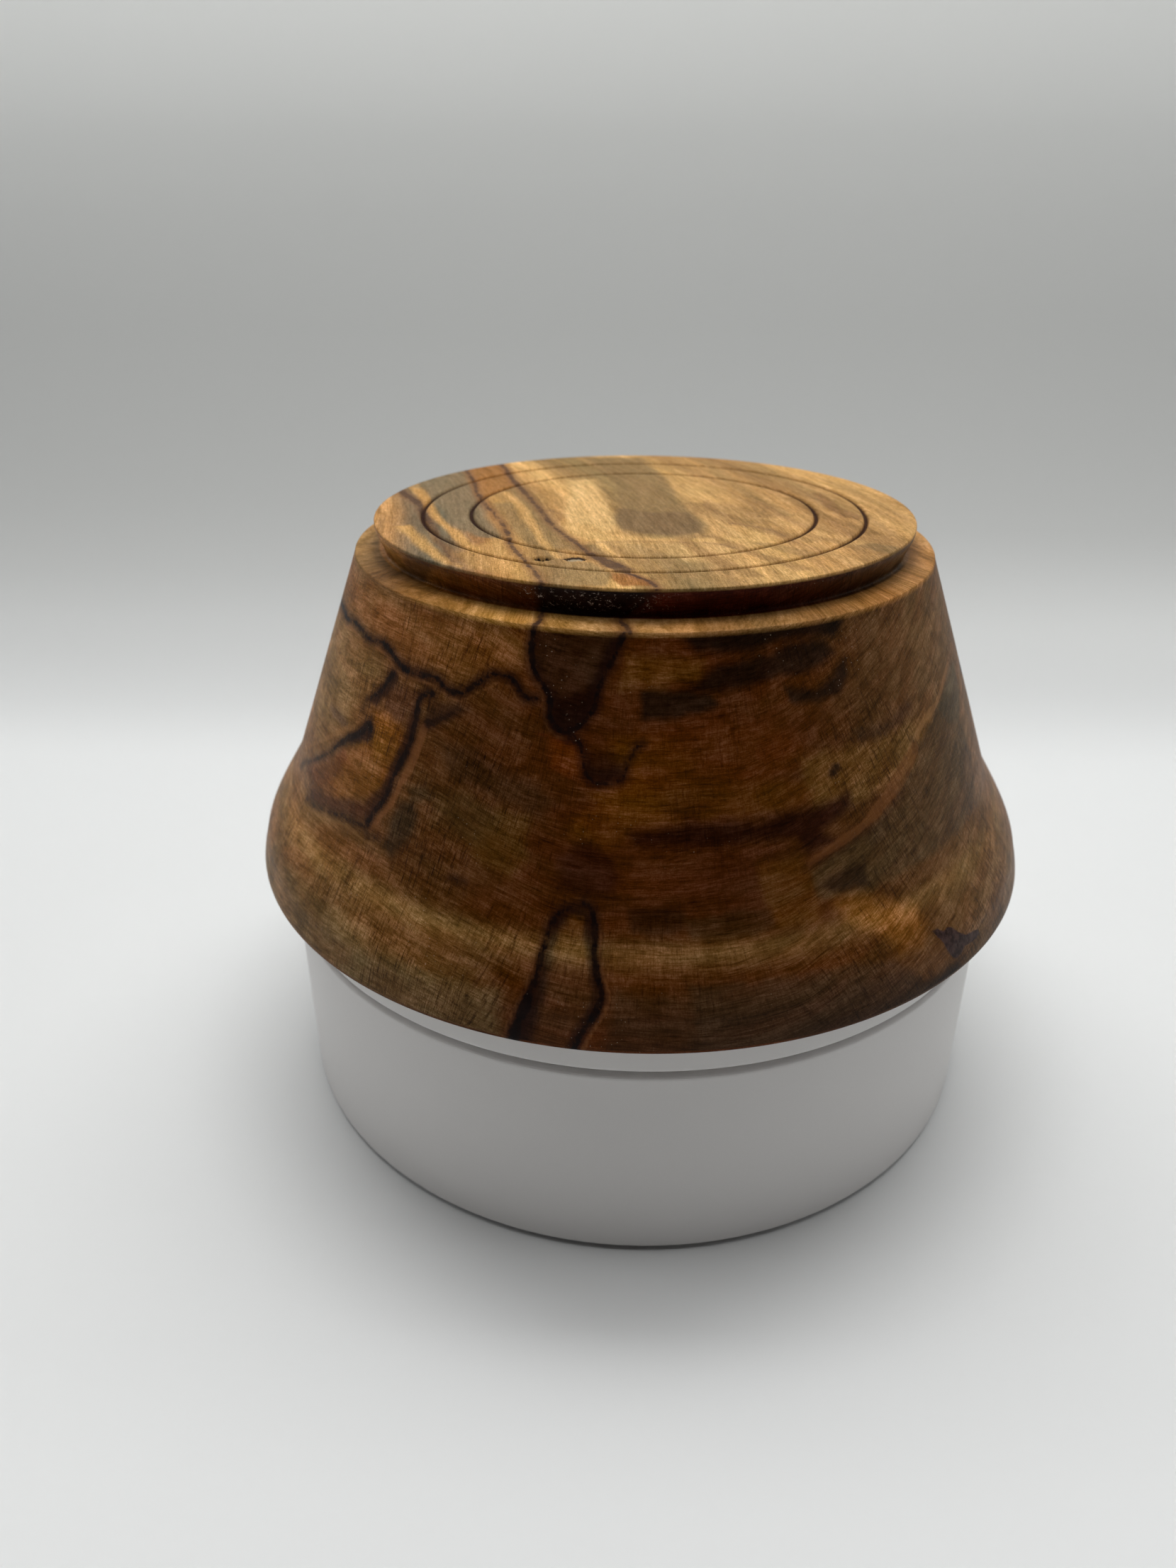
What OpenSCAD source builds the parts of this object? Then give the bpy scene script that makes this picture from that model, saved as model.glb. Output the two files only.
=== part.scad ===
// Turned lather bowl (shaving mug without a handle) stored mouth-down on a
// round ball-bearing display stand. +Z up, origin at the centre of the
// underside of the stand's feet, millimetres.

/* [Mug outside] */
// Height of the mug from its rim to the face of its foot
mug_h = 50.7; // [48:0.1:56]
// Diameter of the foot's face
foot_d = 75.2; // [70:0.1:78]
// Height of the dovetailed wall round the foot
foot_wall_h = 3.6; // [2.5:0.1:4.5]
// How far the foot's wall leans inwards at its root
foot_undercut = 1.1; // [0.4:0.1:1.6]
// Diameter of the shoulder's outer corner
shoulder_d = 80.9; // [79:0.1:84]
// Fall of the shoulder from the foot's root to its outer corner
shoulder_fall = 0.5; // [0.4:0.1:1.6]
// Diameter at the bottom of the straight cone, where the flare starts
flare_d = 103.0; // [100:0.1:106]
// Height of the flare's start above the rim
flare_z = 16.6; // [15:0.1:18]
// Diameter at the top of the rim band
band_d = 114.8; // [112:0.1:116]
// Height of the top of the rim band above the rim
band_z = 5.4; // [4.6:0.1:6.4]
// Largest diameter, at the lower edge of the rim band
lip_d = 116.4; // [115:0.1:118]
// Height of that edge above the rim
lip_z = 1.8; // [1.4:0.1:2.2]
// Rounding of that edge
lip_round = 0.5; // [0.2:0.1:0.8]

/* [Mug foot rings] */
// Radius of the outer V groove on the foot's face
ring_1_r = 30.9; // [28:0.1:33]
// Radius of the inner V groove on the foot's face
ring_2_r = 24.2; // [20:0.1:26]
// Width of each V groove
ring_w = 0.9; // [0.6:0.1:1.4]
// Depth of each V groove
ring_depth = 0.6; // [0.3:0.1:0.9]
// Inner radius of the flat ring on the foot's face that the mug stands on
foot_flat_r = 33.6; // [32.5:0.1:34.5]
// How far the face is dished at its centre, inside that flat ring
foot_dish = 0.6; // [0.3:0.1:0.9]

/* [Mug inside] */
// Outer radius of the flat ring that the mug rests on
rest_r_out = 53.2; // [52.4:0.1:53.6]
// Inner radius of the flat ring that the mug rests on
rest_r_in = 50.2; // [49.4:0.1:51]
// Radius of the mouth at its narrowest, just inside the rim
mouth_r = 48; // [47:0.1:48.4]
// Radius of the cavity at its belly
belly_r = 48; // [47:0.1:48.4]
// Thickness of the floor under the foot's face
floor_t = 8.8; // [8:0.1:12]

/* [Stand] */
// Diameter of the stand
stand_d = 108.6; // [108:0.1:110]
// Height of the platter's top above the table
stand_h = 36; // [35.6:0.1:36.4]
// Height of the platter's upright side
platter_side = 4.4; // [4:0.1:4.8]
// Open seam between the platter and the drum
platter_gap = 0.7; // [0.5:0.1:0.9]
// Rounding of the drum's top edge
drum_round = 0.8; // [0.4:0.1:1]
// Wall thickness of the drum
drum_wall = 2.6; // [2.2:0.1:3]
// Height that the rubber feet hold the drum off the table
foot_gap = 0.8; // [0.6:0.1:1]

/* [Bearing] */
// Ball diameter
ball_d = 4; // [4:0.5:4]
// Radius of the circle the balls run on
ball_pitch_r = 30; // [28:0.5:32]
// Number of balls
ball_count = 12; // [8:1:16]
// Clearance of balls, grooves and pivot
run_gap = 0.05; // [0.03:0.01:0.08]
// Thickness of each bearing race
race_t = 1.6; // [1.4:0.1:1.8]
// Depth of each race's groove
race_groove = 0.6; // [0.4:0.1:0.8]
// Half the width of each race
race_w = 4.2; // [3.8:0.1:4.6]

/* [Pivot] */
// Diameter of the steel spindle
spindle_d = 6; // [6:1:6]
// Outer diameter of the pivot bush
bush_d = 10; // [9:0.5:11]

/* [Base] */
// Thickness of the base cover
cover_t = 2.4; // [2.2:0.1:2.6]
// Number of screws that hold the base cover
screw_count = 4; // [3:1:6]
// Radius of the circle of screws and of the circle of feet
ring_r = 42; // [41:0.5:43]
// Diameter of each rubber foot
pad_d = 12; // [10:1:12]

/* [Hidden] */
$fn = 96;
small_fn = 48;
medium_fn = 64;
cut = 1;           // how far a cutter overshoots a face
merge = 0.5;       // how far a drum or platter part sinks into its neighbour
overlap = 0.01;    // the same for turned metal parts

white = [0.93, 0.93, 0.92];
race_steel = [0.72, 0.73, 0.75];
screw_steel = [0.65, 0.66, 0.68];

// levels, from the table upwards
cover_z = foot_gap;                              // underside of the base cover
cover_top = cover_z + cover_t;
platter_low = stand_h - platter_side;            // lower edge of its side
drum_top = platter_low - platter_gap;            // top edge of the drum
skirt_z = drum_top - 1.4;                        // lower edge of the platter's skirt
plate_z = stand_h - 2.6;                         // underside of the platter's plate
ball_z = plate_z - race_t + race_groove - run_gap - ball_d/2;
lower_race_top = ball_z - ball_d/2 - run_gap + race_groove;
deck_z = lower_race_top - race_t;                // top of the drum's deck
deck_low = deck_z - 2.4;
bush_low = 9;                                    // underside of the pivot boss
flange_t = 1;
spindle_low = bush_low - flange_t - 0.1;
spindle_top = stand_h - 1.6;                     // blind end of the hub's bore
washer_t = 1;
washer_low = spindle_low - washer_t;

// radii and depths shared by several pieces
stand_r = stand_d/2;
drum_in = stand_r - drum_wall;
rebate_r = stand_r - 1.8;                        // seat of the base cover
pivot_thread_r = 1.5;
cover_thread_r = 1.25;
pad_recess = 1.2;
screw_start = 45;                                // angle of the first cover screw

// Cubic Bezier curve in the given number of steps, start point left out
function bezier(start, handle_1, handle_2, end, steps) =
    [for (i = [1:steps]) let (t = i/steps, s = 1 - t)
        s*s*s*start + 3*s*s*t*handle_1 + 3*s*t*t*handle_2 + t*t*t*end];

// Copies of the children round the Z axis
module at_ring(count, radius, start = 0) {
    for (i = [0:count - 1])
        rotate(start + 360*i/count) translate([radius, 0, 0]) children();
}

// Upright cylinder with its lower face at z
module rod(z, r, h) {
    translate([0, 0, z]) cylinder(r = r, h = h);
}

// Cutter for the cross recess of a screw
module cross_recess(z, length, h) {
    slot_w = 0.6;
    for (a = [0, 90])
        rotate(a) translate([-length/2, -slot_w/2, z]) cube([length, slot_w, h]);
}

// Mug outline: all points are [radius, height above the rim]
foot_r = foot_d/2;
root = [foot_r - foot_undercut, mug_h - foot_wall_h];
corner = [shoulder_d/2, root[1] - shoulder_fall];
flare = [flare_d/2, flare_z];
band = [band_d/2, band_z];
lip = [lip_d/2, lip_z];
lip_top = lip + [0, lip_round];
lip_under = lip + [-lip_round, -lip_round*0.5];
cone_dir = (flare - corner)/norm(flare - corner);
rest_out = [rest_r_out, 0];
rest_in = [rest_r_in, 0];
mouth = [mouth_r, 2];
belly = [belly_r, 6];
cavity_side = [39.4, 29.6];
cavity_z = mug_h - floor_t;
cavity_floor = [18, cavity_z];                   // outer edge of the flat floor
foot_bevel = 0.3;

// Height of the dished face at a radius
function face_z(radius) =
    radius >= foot_flat_r ? mug_h : mug_h - foot_dish*(1 - pow(radius/foot_flat_r, 2));

function v_groove(radius) = [
    [radius - ring_w/2, face_z(radius - ring_w/2)],
    [radius, face_z(radius) - ring_depth],
    [radius + ring_w/2, face_z(radius + ring_w/2)]];

// from the axis out over the foot's face
face_outline = concat(
    [for (radius = [0, 6, 12, 18]) [radius, face_z(radius)]],
    v_groove(ring_2_r),
    v_groove(ring_1_r),
    [[foot_flat_r, mug_h], [foot_r - foot_bevel, mug_h], [foot_r, mug_h - foot_bevel]]);

// down the foot's wall, over the shoulder and down the cone to the flare
side_outline = concat(
    [root + [0.5*foot_undercut, 1.2]],
    bezier(root + [0.35*foot_undercut, 0.8], root + [0, 0.1], root + [0.2, 0],
        root + [1.0, -0.15], 5),
    [corner + [-0.5, 0.12]],
    bezier(corner + [-0.35, 0.08], corner, corner, corner + 0.4*cone_dir, 4),
    [(corner + flare)/2, flare]);

// down the flare and the rim band, then under the lip to the resting ring
rim_outline = concat(
    bezier(flare, flare + 2.9*cone_dir, band + [-0.6, 3.2], band, 10),
    bezier(band, band + [0.35, -1.2], lip + [-0.15, 1.3], lip_top + [-0.02, 0], 5),
    bezier(lip_top, lip, lip, lip_under, 3),
    bezier(lip_under, lip + [-1.6, -0.9], rest_out + [1.6, 0.1], rest_out, 8),
    [rest_in]);

// up the inside to the axis
cavity_outline = concat(
    bezier(rest_in, rest_in + [-1.2, 0.2], [mouth_r + 0.2, 0.9], mouth, 6),
    bezier(mouth, [mouth_r - 0.1, 3], [belly_r, 4.5], belly, 4),
    bezier(belly, [belly_r, 13], [42.4, 21.6], cavity_side, 10),
    bezier(cavity_side, [36.4, 38.1], [31, cavity_z], cavity_floor, 12),
    [[0, cavity_z]]);

// One-piece turned bowl, rim down on the platter
module mug_body() {
    color([0.36, 0.22, 0.12]) translate([0, 0, stand_h]) rotate_extrude()
        polygon(concat(face_outline, side_outline, rim_outline, cavity_outline));
}

// White turning plate: upright side that carries on the drum's wall, skirt
// inside the drum's rim against dust, blind hub for the spindle
module platter() {
    skirt_out = drum_in - 1;
    skirt_in = drum_in - 2.4;
    low_bevel = 0.2;
    hub_low = deck_z + 1;
    color(white) difference() {
        union() {
            rotate_extrude() polygon([
                [0, plate_z], [skirt_in, plate_z], [skirt_in, skirt_z], [skirt_out, skirt_z],
                [skirt_out, platter_low], [stand_r - low_bevel, platter_low],
                [stand_r, platter_low + low_bevel], [stand_r, stand_h - 0.6],
                [stand_r - 0.15, stand_h - 0.2], [stand_r - 0.6, stand_h], [0, stand_h]]);
            rod(hub_low, r = 8, h = plate_z - hub_low + merge);
        }
        rod(deck_z, r = spindle_d/2, h = spindle_top - deck_z);
    }
}

// Flat ring with the balls' groove cut in it
module race_ring(z) {
    difference() {
        rod(z, r = ball_pitch_r + race_w, h = race_t);
        rod(z - cut, r = ball_pitch_r - race_w, h = race_t + 2*cut);
        rotate_extrude() translate([ball_pitch_r, ball_z])
            circle(r = ball_d/2 + run_gap, $fn = medium_fn);
    }
}

// Steel ring under the platter
module upper_race() {
    color(race_steel) race_ring(plate_z - race_t);
}

// Steel ring on the drum's deck
module lower_race() {
    color(race_steel) race_ring(deck_z);
}

// Balls, one solid each
module bearing_balls() {
    color([0.85, 0.86, 0.88]) at_ring(ball_count, ball_pitch_r)
        translate([0, 0, ball_z]) sphere(d = ball_d, $fn = small_fn);
}

// Plastic ring that spaces the balls
module ball_cage() {
    half_w = 3.4;
    thickness = 1.4;
    cutter_h = 4;
    cutter_z = ball_z - cutter_h/2;
    color([0.85, 0.82, 0.72]) difference() {
        rod(ball_z - thickness/2, r = ball_pitch_r + half_w, h = thickness);
        rod(cutter_z, r = ball_pitch_r - half_w, h = cutter_h);
        at_ring(ball_count, ball_pitch_r)
            rod(cutter_z, r = ball_d/2 + run_gap, h = cutter_h, $fn = small_fn);
    }
}

// Steel spindle pressed in the platter's hub, drilled below for its screw
module spindle() {
    hole_depth = 10;
    color([0.75, 0.76, 0.78]) difference() {
        rod(spindle_low, r = spindle_d/2, h = spindle_top - spindle_low);
        rod(spindle_low - cut, r = pivot_thread_r, h = hole_depth + cut);
    }
}

// Keeps the spindle from lifting out of its bush
module retaining_washer() {
    color([0.78, 0.78, 0.8]) difference() {
        rod(washer_low, r = 7, h = washer_t);
        rod(washer_low - cut, r = pivot_thread_r + 0.1, h = washer_t + 2*cut);
    }
}

// Round-head screw up into the spindle, cross recess
module retaining_screw() {
    head_h = 1.8;
    head_low = washer_low - head_h;
    color(screw_steel) difference() {
        union() {
            rod(head_low, r = 2.9, h = head_h);
            rod(washer_low - overlap, r = pivot_thread_r, h = 8.5);
        }
        cross_recess(head_low - cut, length = 3.4, h = 2);
    }
}

// Section of the drum's wall and deck, [radius, z]
drum_outline = concat(
    [[rebate_r, foot_gap], [stand_r - 0.3, foot_gap], [stand_r, foot_gap + 0.3],
     [stand_r, drum_top - drum_round]],
    bezier([stand_r, drum_top - drum_round], [stand_r, drum_top - 0.45*drum_round],
        [stand_r - 0.45*drum_round, drum_top], [stand_r - drum_round, drum_top], 5),
    [[drum_in, drum_top], [drum_in, deck_z], [0, deck_z], [0, deck_low],
     [drum_in, deck_low], [drum_in, cover_top], [rebate_r, cover_top]]);

// Ribs under the deck between the boss and the wall
module drum_ribs() {
    rib_t = 1.6;
    rib_h = 5;
    trim_low = 10;
    intersection() {
        at_ring(8, 0, 22.5) translate([0, -rib_t/2, deck_low - rib_h])
            cube([drum_in + merge, rib_t, rib_h + merge]);
        rod(trim_low, r = drum_in + merge, h = deck_low + merge - trim_low);
    }
}

// White moulded drum: wall, deck, pivot boss, ribs and screw posts
module drum_shell() {
    color(white) difference() {
        union() {
            rotate_extrude() polygon(drum_outline);
            // boss for the pivot bush
            rod(bush_low, r = bush_d/2 + 3.4, h = deck_z - bush_low - 1);
            drum_ribs();
            // posts for the cover's screws
            at_ring(screw_count, ring_r, screw_start)
                rod(cover_top, r = 3.6, h = deck_low - cover_top + merge, $fn = small_fn);
        }
        rod(bush_low - cut, r = bush_d/2, h = deck_z - bush_low + 3*cut);
        at_ring(screw_count, ring_r, screw_start)
            rod(cover_top - cut, r = cover_thread_r, h = 11 + cut, $fn = small_fn);
    }
}

// Flanged bush pressed up into the boss, bored to run on the spindle
module pivot_bush() {
    color([0.72, 0.52, 0.28]) difference() {
        union() {
            rod(bush_low - flange_t, r = bush_d/2 + 2.5, h = flange_t);
            rod(bush_low - overlap, r = bush_d/2, h = deck_z - bush_low + overlap);
        }
        rod(bush_low - 3, r = spindle_d/2 + run_gap, h = deck_z);
    }
}

// Disc that closes the drum from below, seated in the wall's rebate
module base_cover() {
    cutter_z = cover_z - cut;
    head_recess = 1.5;
    color([0.9, 0.9, 0.89]) difference() {
        rod(cover_z, r = rebate_r - 0.1, h = cover_t);
        at_ring(screw_count, ring_r, screw_start) {
            rod(cutter_z, r = 1.6, h = cover_t + 2*cut, $fn = small_fn);
            rod(cutter_z, r = 3, h = head_recess + cut, $fn = small_fn);
        }
        at_ring(4, ring_r)
            rod(cutter_z, r = pad_d/2 + 0.15, h = pad_recess + cut, $fn = medium_fn);
    }
}

// Self-tapping screws of the base cover
module cover_screws() {
    head_h = 1.4;
    color(screw_steel) at_ring(screw_count, ring_r, screw_start) difference() {
        union() {
            rod(cover_z + 0.1, r = 2.8, h = head_h, $fn = small_fn);
            // the shank starts just inside the head
            rod(cover_z + head_h, r = cover_thread_r, h = 9.6, $fn = small_fn);
        }
        cross_recess(cover_z - cut, length = 3.2, h = 1.8);
    }
}

// Soft pads in the cover's recesses, proud of the drum by foot_gap
module rubber_feet() {
    pad_r = pad_d/2;
    bevel = 0.4;
    pad_top = cover_z + pad_recess;
    color([0.2, 0.2, 0.21]) at_ring(4, ring_r) rotate_extrude($fn = medium_fn)
        polygon([[0, 0], [pad_r - bevel, 0], [pad_r, bevel], [pad_r, pad_top], [0, pad_top]]);
}

mug_body();
platter();
upper_race();
spindle();
retaining_washer();
retaining_screw();
ball_cage();
bearing_balls();
drum_shell();
lower_race();
pivot_bush();
base_cover();
cover_screws();
rubber_feet();
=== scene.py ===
# Turned lather bowl standing mouth-down on a round white display stand.
# Metres, +Z up, origin under the stand, the camera on the -Y side.
# Profiles and figure are laid out in mm and scaled as each mesh is made.
import math

import bpy
import numpy as np
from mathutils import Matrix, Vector


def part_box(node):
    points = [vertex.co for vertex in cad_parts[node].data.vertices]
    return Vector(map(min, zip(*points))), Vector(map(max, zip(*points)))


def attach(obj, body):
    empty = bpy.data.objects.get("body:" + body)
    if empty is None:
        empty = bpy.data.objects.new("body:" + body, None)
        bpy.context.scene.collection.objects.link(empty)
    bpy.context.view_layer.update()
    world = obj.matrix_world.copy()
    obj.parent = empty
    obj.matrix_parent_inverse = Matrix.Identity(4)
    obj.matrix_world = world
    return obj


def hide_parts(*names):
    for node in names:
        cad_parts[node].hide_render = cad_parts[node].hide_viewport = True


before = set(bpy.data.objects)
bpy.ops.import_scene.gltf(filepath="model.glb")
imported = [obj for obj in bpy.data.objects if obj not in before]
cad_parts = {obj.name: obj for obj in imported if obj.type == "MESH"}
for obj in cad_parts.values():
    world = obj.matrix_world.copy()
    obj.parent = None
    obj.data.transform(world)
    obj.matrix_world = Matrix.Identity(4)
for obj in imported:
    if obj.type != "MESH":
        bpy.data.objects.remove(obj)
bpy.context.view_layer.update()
MM = 0.001


# ---------------------------------------------------------------- number helpers
def rows(text):
    """Array from text: rows split by spaces, columns by commas."""
    return np.array([[float(v) for v in row.split(",")] for row in text.split()])


def read_table(text):
    """{name: (settings, points)} from entries 'name: settings | x,y x,y ...;'."""
    table = {}
    for entry in text.split(";")[:-1]:
        name, rest = entry.split(":")
        settings, outline = rest.split("|")
        table[name.strip()] = ([float(v) for v in settings.split()], rows(outline))
    return table


def lin(colour):
    """sRGB 0-255 to linear."""
    colour = np.asarray(colour, float) / 255.0
    return np.where(colour <= 0.04045, colour / 12.92, ((colour + 0.055) / 1.055) ** 2.4)


def smooth(start, end, value):
    """Smooth step from 0 at start to 1 at end."""
    part = np.clip((value - start) / (end - start), 0, 1)
    return part * part * (3 - 2 * part)


def window(value, rise_start, rise_end, fall_start, fall_end):
    """0, up to 1 across the rise, back to 0 across the fall."""
    return smooth(rise_start, rise_end, value) * (1 - smooth(fall_start, fall_end, value))


def blend(base, colour, weight):
    weight = weight[:, None]
    return base * (1 - weight) + colour * weight


def interpolate(at, text):
    """Value at each place, from rows of (place, value)."""
    table = rows(text)
    return np.interp(at, table[:, 0], table[:, 1])


def colour_ramp(at, convert, text):
    """Colour at each place, from rows of (place, red, green, blue)."""
    table = rows(text)
    colours = convert(table[:, 1:])
    return np.stack([np.interp(at, table[:, 0], colours[:, k]) for k in range(3)], 1)


HASH = np.array([374761393, 668265263, 1440662683], np.int64)


def value_noise(samples, seed):
    """Value noise, 0 to 1, at samples (N, 3)."""
    cell = np.floor(samples).astype(np.int64)
    inner = samples - cell
    inner = inner * inner * (3 - 2 * inner)
    total = np.zeros(len(samples))
    mask = np.int64(0xFFFFFFFF)
    for corner in np.ndindex(2, 2, 2):
        key = ((cell + np.array(corner)) @ HASH + seed * 1013904223) & mask
        key = ((key ^ (key >> 13)) * 1274126177) & mask
        key = ((key ^ (key >> 16)) * 668265263) & mask
        key = (key ^ (key >> 15)) & mask
        weight = 1.0
        for axis, side in enumerate(corner):
            weight = weight * (inner[:, axis] if side else 1 - inner[:, axis])
        total += weight * (key / 4294967295.0)
    return total


def fractal_noise(samples, octaves, seed):
    """Octaves of value noise, -0.5 to 0.5."""
    total, weights = 0.0, 0.0
    for k in range(octaves):
        weight = 0.5 ** (k + 1)
        total = total + weight * value_noise(samples * 2 ** k + 17.3 * k, seed + k)
        weights += weight
    return total / weights - 0.5


def flat_noise(first, second, seed, octaves=3):
    """Fractal noise over two coordinates."""
    return fractal_noise(np.stack([first, second, first * 0], 1), octaves, seed)


def polygon_distance(x, y, polygon):
    """Signed distance to a polygon, negative inside."""
    distance = np.full(x.shape, 1e9)
    inside = np.zeros(x.shape, bool)
    for (ax, ay), (bx, by) in zip(polygon, np.roll(polygon, -1, 0)):
        edge_x, edge_y = bx - ax, by - ay
        to_x, to_y = x - ax, y - ay
        length2 = edge_x * edge_x + edge_y * edge_y + 1e-12
        part = np.clip((to_x * edge_x + to_y * edge_y) / length2, 0, 1)
        distance = np.minimum(distance, np.hypot(to_x - edge_x * part, to_y - edge_y * part))
        inside ^= ((ay > y) != (by > y)) & (x < edge_x * (y - ay) / (by - ay + 1e-12) + ax)
    return np.where(inside, -distance, distance)


# ---------------------------------------------------------------- shape helpers
def curve(start, pull_start, pull_end, end, count):
    """Cubic Bezier in count steps, start left out."""
    corners = [np.asarray(v, float) for v in (start, pull_start, pull_end, end)]
    t = np.linspace(0, 1, count + 1)[1:, None]
    s = 1 - t
    weights = (s ** 3, 3 * s * s * t, 3 * s * t * t, t ** 3)
    return list(sum(w * corner for w, corner in zip(weights, corners)))


def straight(start, end, step):
    """Even points from start to end, at most step apart, start left out."""
    start, end = np.asarray(start, float), np.asarray(end, float)
    count = max(1, math.ceil(np.linalg.norm(end - start) / step))
    return [start + (end - start) * i / count for i in range(1, count + 1)]


def polar(angle, radius, height):
    """Points for degrees round from the front, positive to the right."""
    turn = np.radians(angle)
    return np.stack([radius * np.sin(turn), -radius * np.cos(turn), height], -1)


def new_object(name, verts, faces):
    mesh = bpy.data.meshes.new(name)
    mesh.from_pydata(verts, [], faces)
    mesh.polygons.foreach_set("use_smooth", [True] * len(mesh.polygons))
    obj = bpy.data.objects.new(name, mesh)
    bpy.context.scene.collection.objects.link(obj)
    return obj


def lathe(name, rings, columns, warp=None):
    """Closed turned piece from (radius, height) rings in mm; also returns its points in mm."""
    rings = np.array(rings, float)
    angle = np.arange(columns) * 360 / columns
    points = polar(angle[None, :], rings[:, :1], np.repeat(rings[:, 1:], columns, 1))
    index = np.arange(len(rings) * columns).reshape(-1, columns)
    first, second = index[:-1], index[1:]
    quads = [first, second, np.roll(second, -1, 1), np.roll(first, -1, 1)]
    faces = np.stack(quads, -1).reshape(-1, 4).tolist()
    start = index.size
    for k in range(columns):
        faces.append([start, int(index[0, k]), int(index[0, (k + 1) % columns])])
    for k in range(columns):
        faces.append([start + 1, int(index[-1, (k + 1) % columns]), int(index[-1, k])])
    centres = [[0, 0, rings[0, 1]], [0, 0, rings[-1, 1]]]
    points = np.vstack([points.reshape(-1, 3), centres])
    if warp is not None:
        points = warp(points)
    obj = new_object(name, (points * MM).tolist(), faces)
    obj.data.validate()
    obj.data.update()
    obj.data.polygons.foreach_set("use_smooth", [True] * len(obj.data.polygons))
    return obj, points


def put(mesh, name, kind, data):
    """Point attribute; colours are given as rgb."""
    attribute = mesh.attributes.new(name, kind, "POINT")
    if kind == "FLOAT_COLOR":
        data = np.column_stack([data, np.ones(len(data))])
    key = {"FLOAT": "value", "FLOAT_VECTOR": "vector", "FLOAT_COLOR": "color"}[kind]
    attribute.data.foreach_set(key, np.ascontiguousarray(data, np.float32).ravel())


# ---------------------------------------------------------------- mug profile, mm (radius, height)
box_lo, box_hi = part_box("mug_body")
MUG_H = 55.1                         # foot's face above the level mug heights are measured from
Z0 = box_hi[2] / MM - MUG_H          # that level, a little under the rim
RIM = box_lo[2] / MM - Z0            # the rim, on which the mug stands
FOOT_R = 37.57
FOOT_WALL = 3.6
UNDERCUT = 1.1
SHOULDER_R = 40.42
SHOULDER_FALL = 0.5
OUTER_RING, INNER_RING = 30.9, 24.2  # radii of the two grooves in the foot's face
RING_W, RING_D = 0.9, 0.6
FLAT_R, DISH = 33.6, 0.6             # the face is dished inside FLAT_R
CAVITY_TOP = MUG_H - 8.8
CAVITY_R = 48.0
FLARE = np.array([51.5, 21.0])
BAND = np.array([57.4, 9.8])
LIP = np.array([58.15, 6.2])
LIP_ROUND = 0.5
ROOT = np.array([FOOT_R - UNDERCUT, MUG_H - FOOT_WALL])
CORNER = np.array([SHOULDER_R, ROOT[1] - SHOULDER_FALL])
CONE = (FLARE - CORNER) / np.linalg.norm(FLARE - CORNER)
COLUMNS = 720


def face_height(r):
    return np.where(r >= FLAT_R, MUG_H, MUG_H - DISH * (1 - (r / FLAT_R) ** 2))


def flat_face(start, end, step):
    return [(r, face_height(r)) for r in np.arange(start, end, step)]


def groove(ring_r):
    """Rounded V groove."""
    points = []
    for k in np.linspace(-1, 1, 11):
        r = ring_r + k * RING_W * 0.62
        points.append((r, face_height(r) - RING_D * max(0.0, 1 - abs(k) / 0.86) ** 0.9))
    return points


foot_face = flat_face(0.6, 23.4, 0.6) + groove(INNER_RING) + flat_face(25.1, 30.2, 0.3)
foot_face += groove(OUTER_RING) + flat_face(31.8, 37.1, 0.4) + [(37.2, MUG_H)]
foot_face += curve((37.25, MUG_H), (37.5, MUG_H), (FOOT_R, MUG_H - 0.06),
                   (FOOT_R - 0.01, MUG_H - 0.26), 5)

wall_top = (FOOT_R - 0.05, MUG_H - 0.7)
wall_low = ROOT + (0.06, 0.4)
wall_end = ROOT + (0.45, -0.06)
foot_wall = [(FOOT_R - 0.03, MUG_H - 0.5), wall_top]
foot_wall += curve(wall_top, (FOOT_R - 0.28, MUG_H - 1.6), ROOT + (0.2, 0.9), wall_low, 9)
foot_wall += curve(wall_low, ROOT + (0.01, 0.1), ROOT + (0.1, -0.01), wall_end, 6)

corner_start = CORNER + (-0.22, 0.03)
corner_end = CORNER + 0.22 * CONE
shoulder = straight(wall_end, corner_start, 0.35)
shoulder += curve(corner_start, CORNER + (-0.04, 0.0), CORNER, corner_end, 5)

lip_top = LIP + (-0.02, LIP_ROUND)
lip_low = LIP + (-LIP_ROUND, -LIP_ROUND * 0.5)
body = straight(corner_end, FLARE, 0.5)
body += curve(FLARE, FLARE + 2.9 * CONE, BAND + (-0.6, 3.2), BAND, 26)
body += curve(BAND, BAND + (0.35, -1.2), LIP + (-0.15, 1.3), lip_top, 7)

cavity_mouth = (CAVITY_R, RIM + 2.0)
under_lip = curve(lip_top, LIP + (0.0, 0.1), LIP + (-0.05, -0.05), lip_low, 5)
under_lip += curve(lip_low, LIP + (-1.6, -0.9), (54.8, RIM + 0.1), (53.2, RIM), 12)
under_lip += straight((53.2, RIM), (50.2, RIM), 0.6)
under_lip += curve((50.2, RIM), (49.0, RIM + 0.2), (48.2, RIM + 0.9), cavity_mouth, 8)

cavity_low = (CAVITY_R, RIM + 6.0)
cavity_high = (39.4, RIM + 29.6)
inside = curve(cavity_mouth, (47.9, RIM + 3.0), (CAVITY_R, RIM + 4.5), cavity_low, 6)
inside += curve(cavity_low, (CAVITY_R, RIM + 13.0), (42.4, RIM + 21.6), cavity_high, 20)
inside += curve(cavity_high, (36.4, RIM + 38.1), (31, CAVITY_TOP), (18, CAVITY_TOP), 24)
inside += [(r, CAVITY_TOP) for r in np.arange(17, 0.5, -1.0)]

FACE, WALL, SHOULDER, BODY, UNDER, INSIDE = range(6)
sections = [foot_face, foot_wall, shoulder, body, under_lip, inside]

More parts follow.
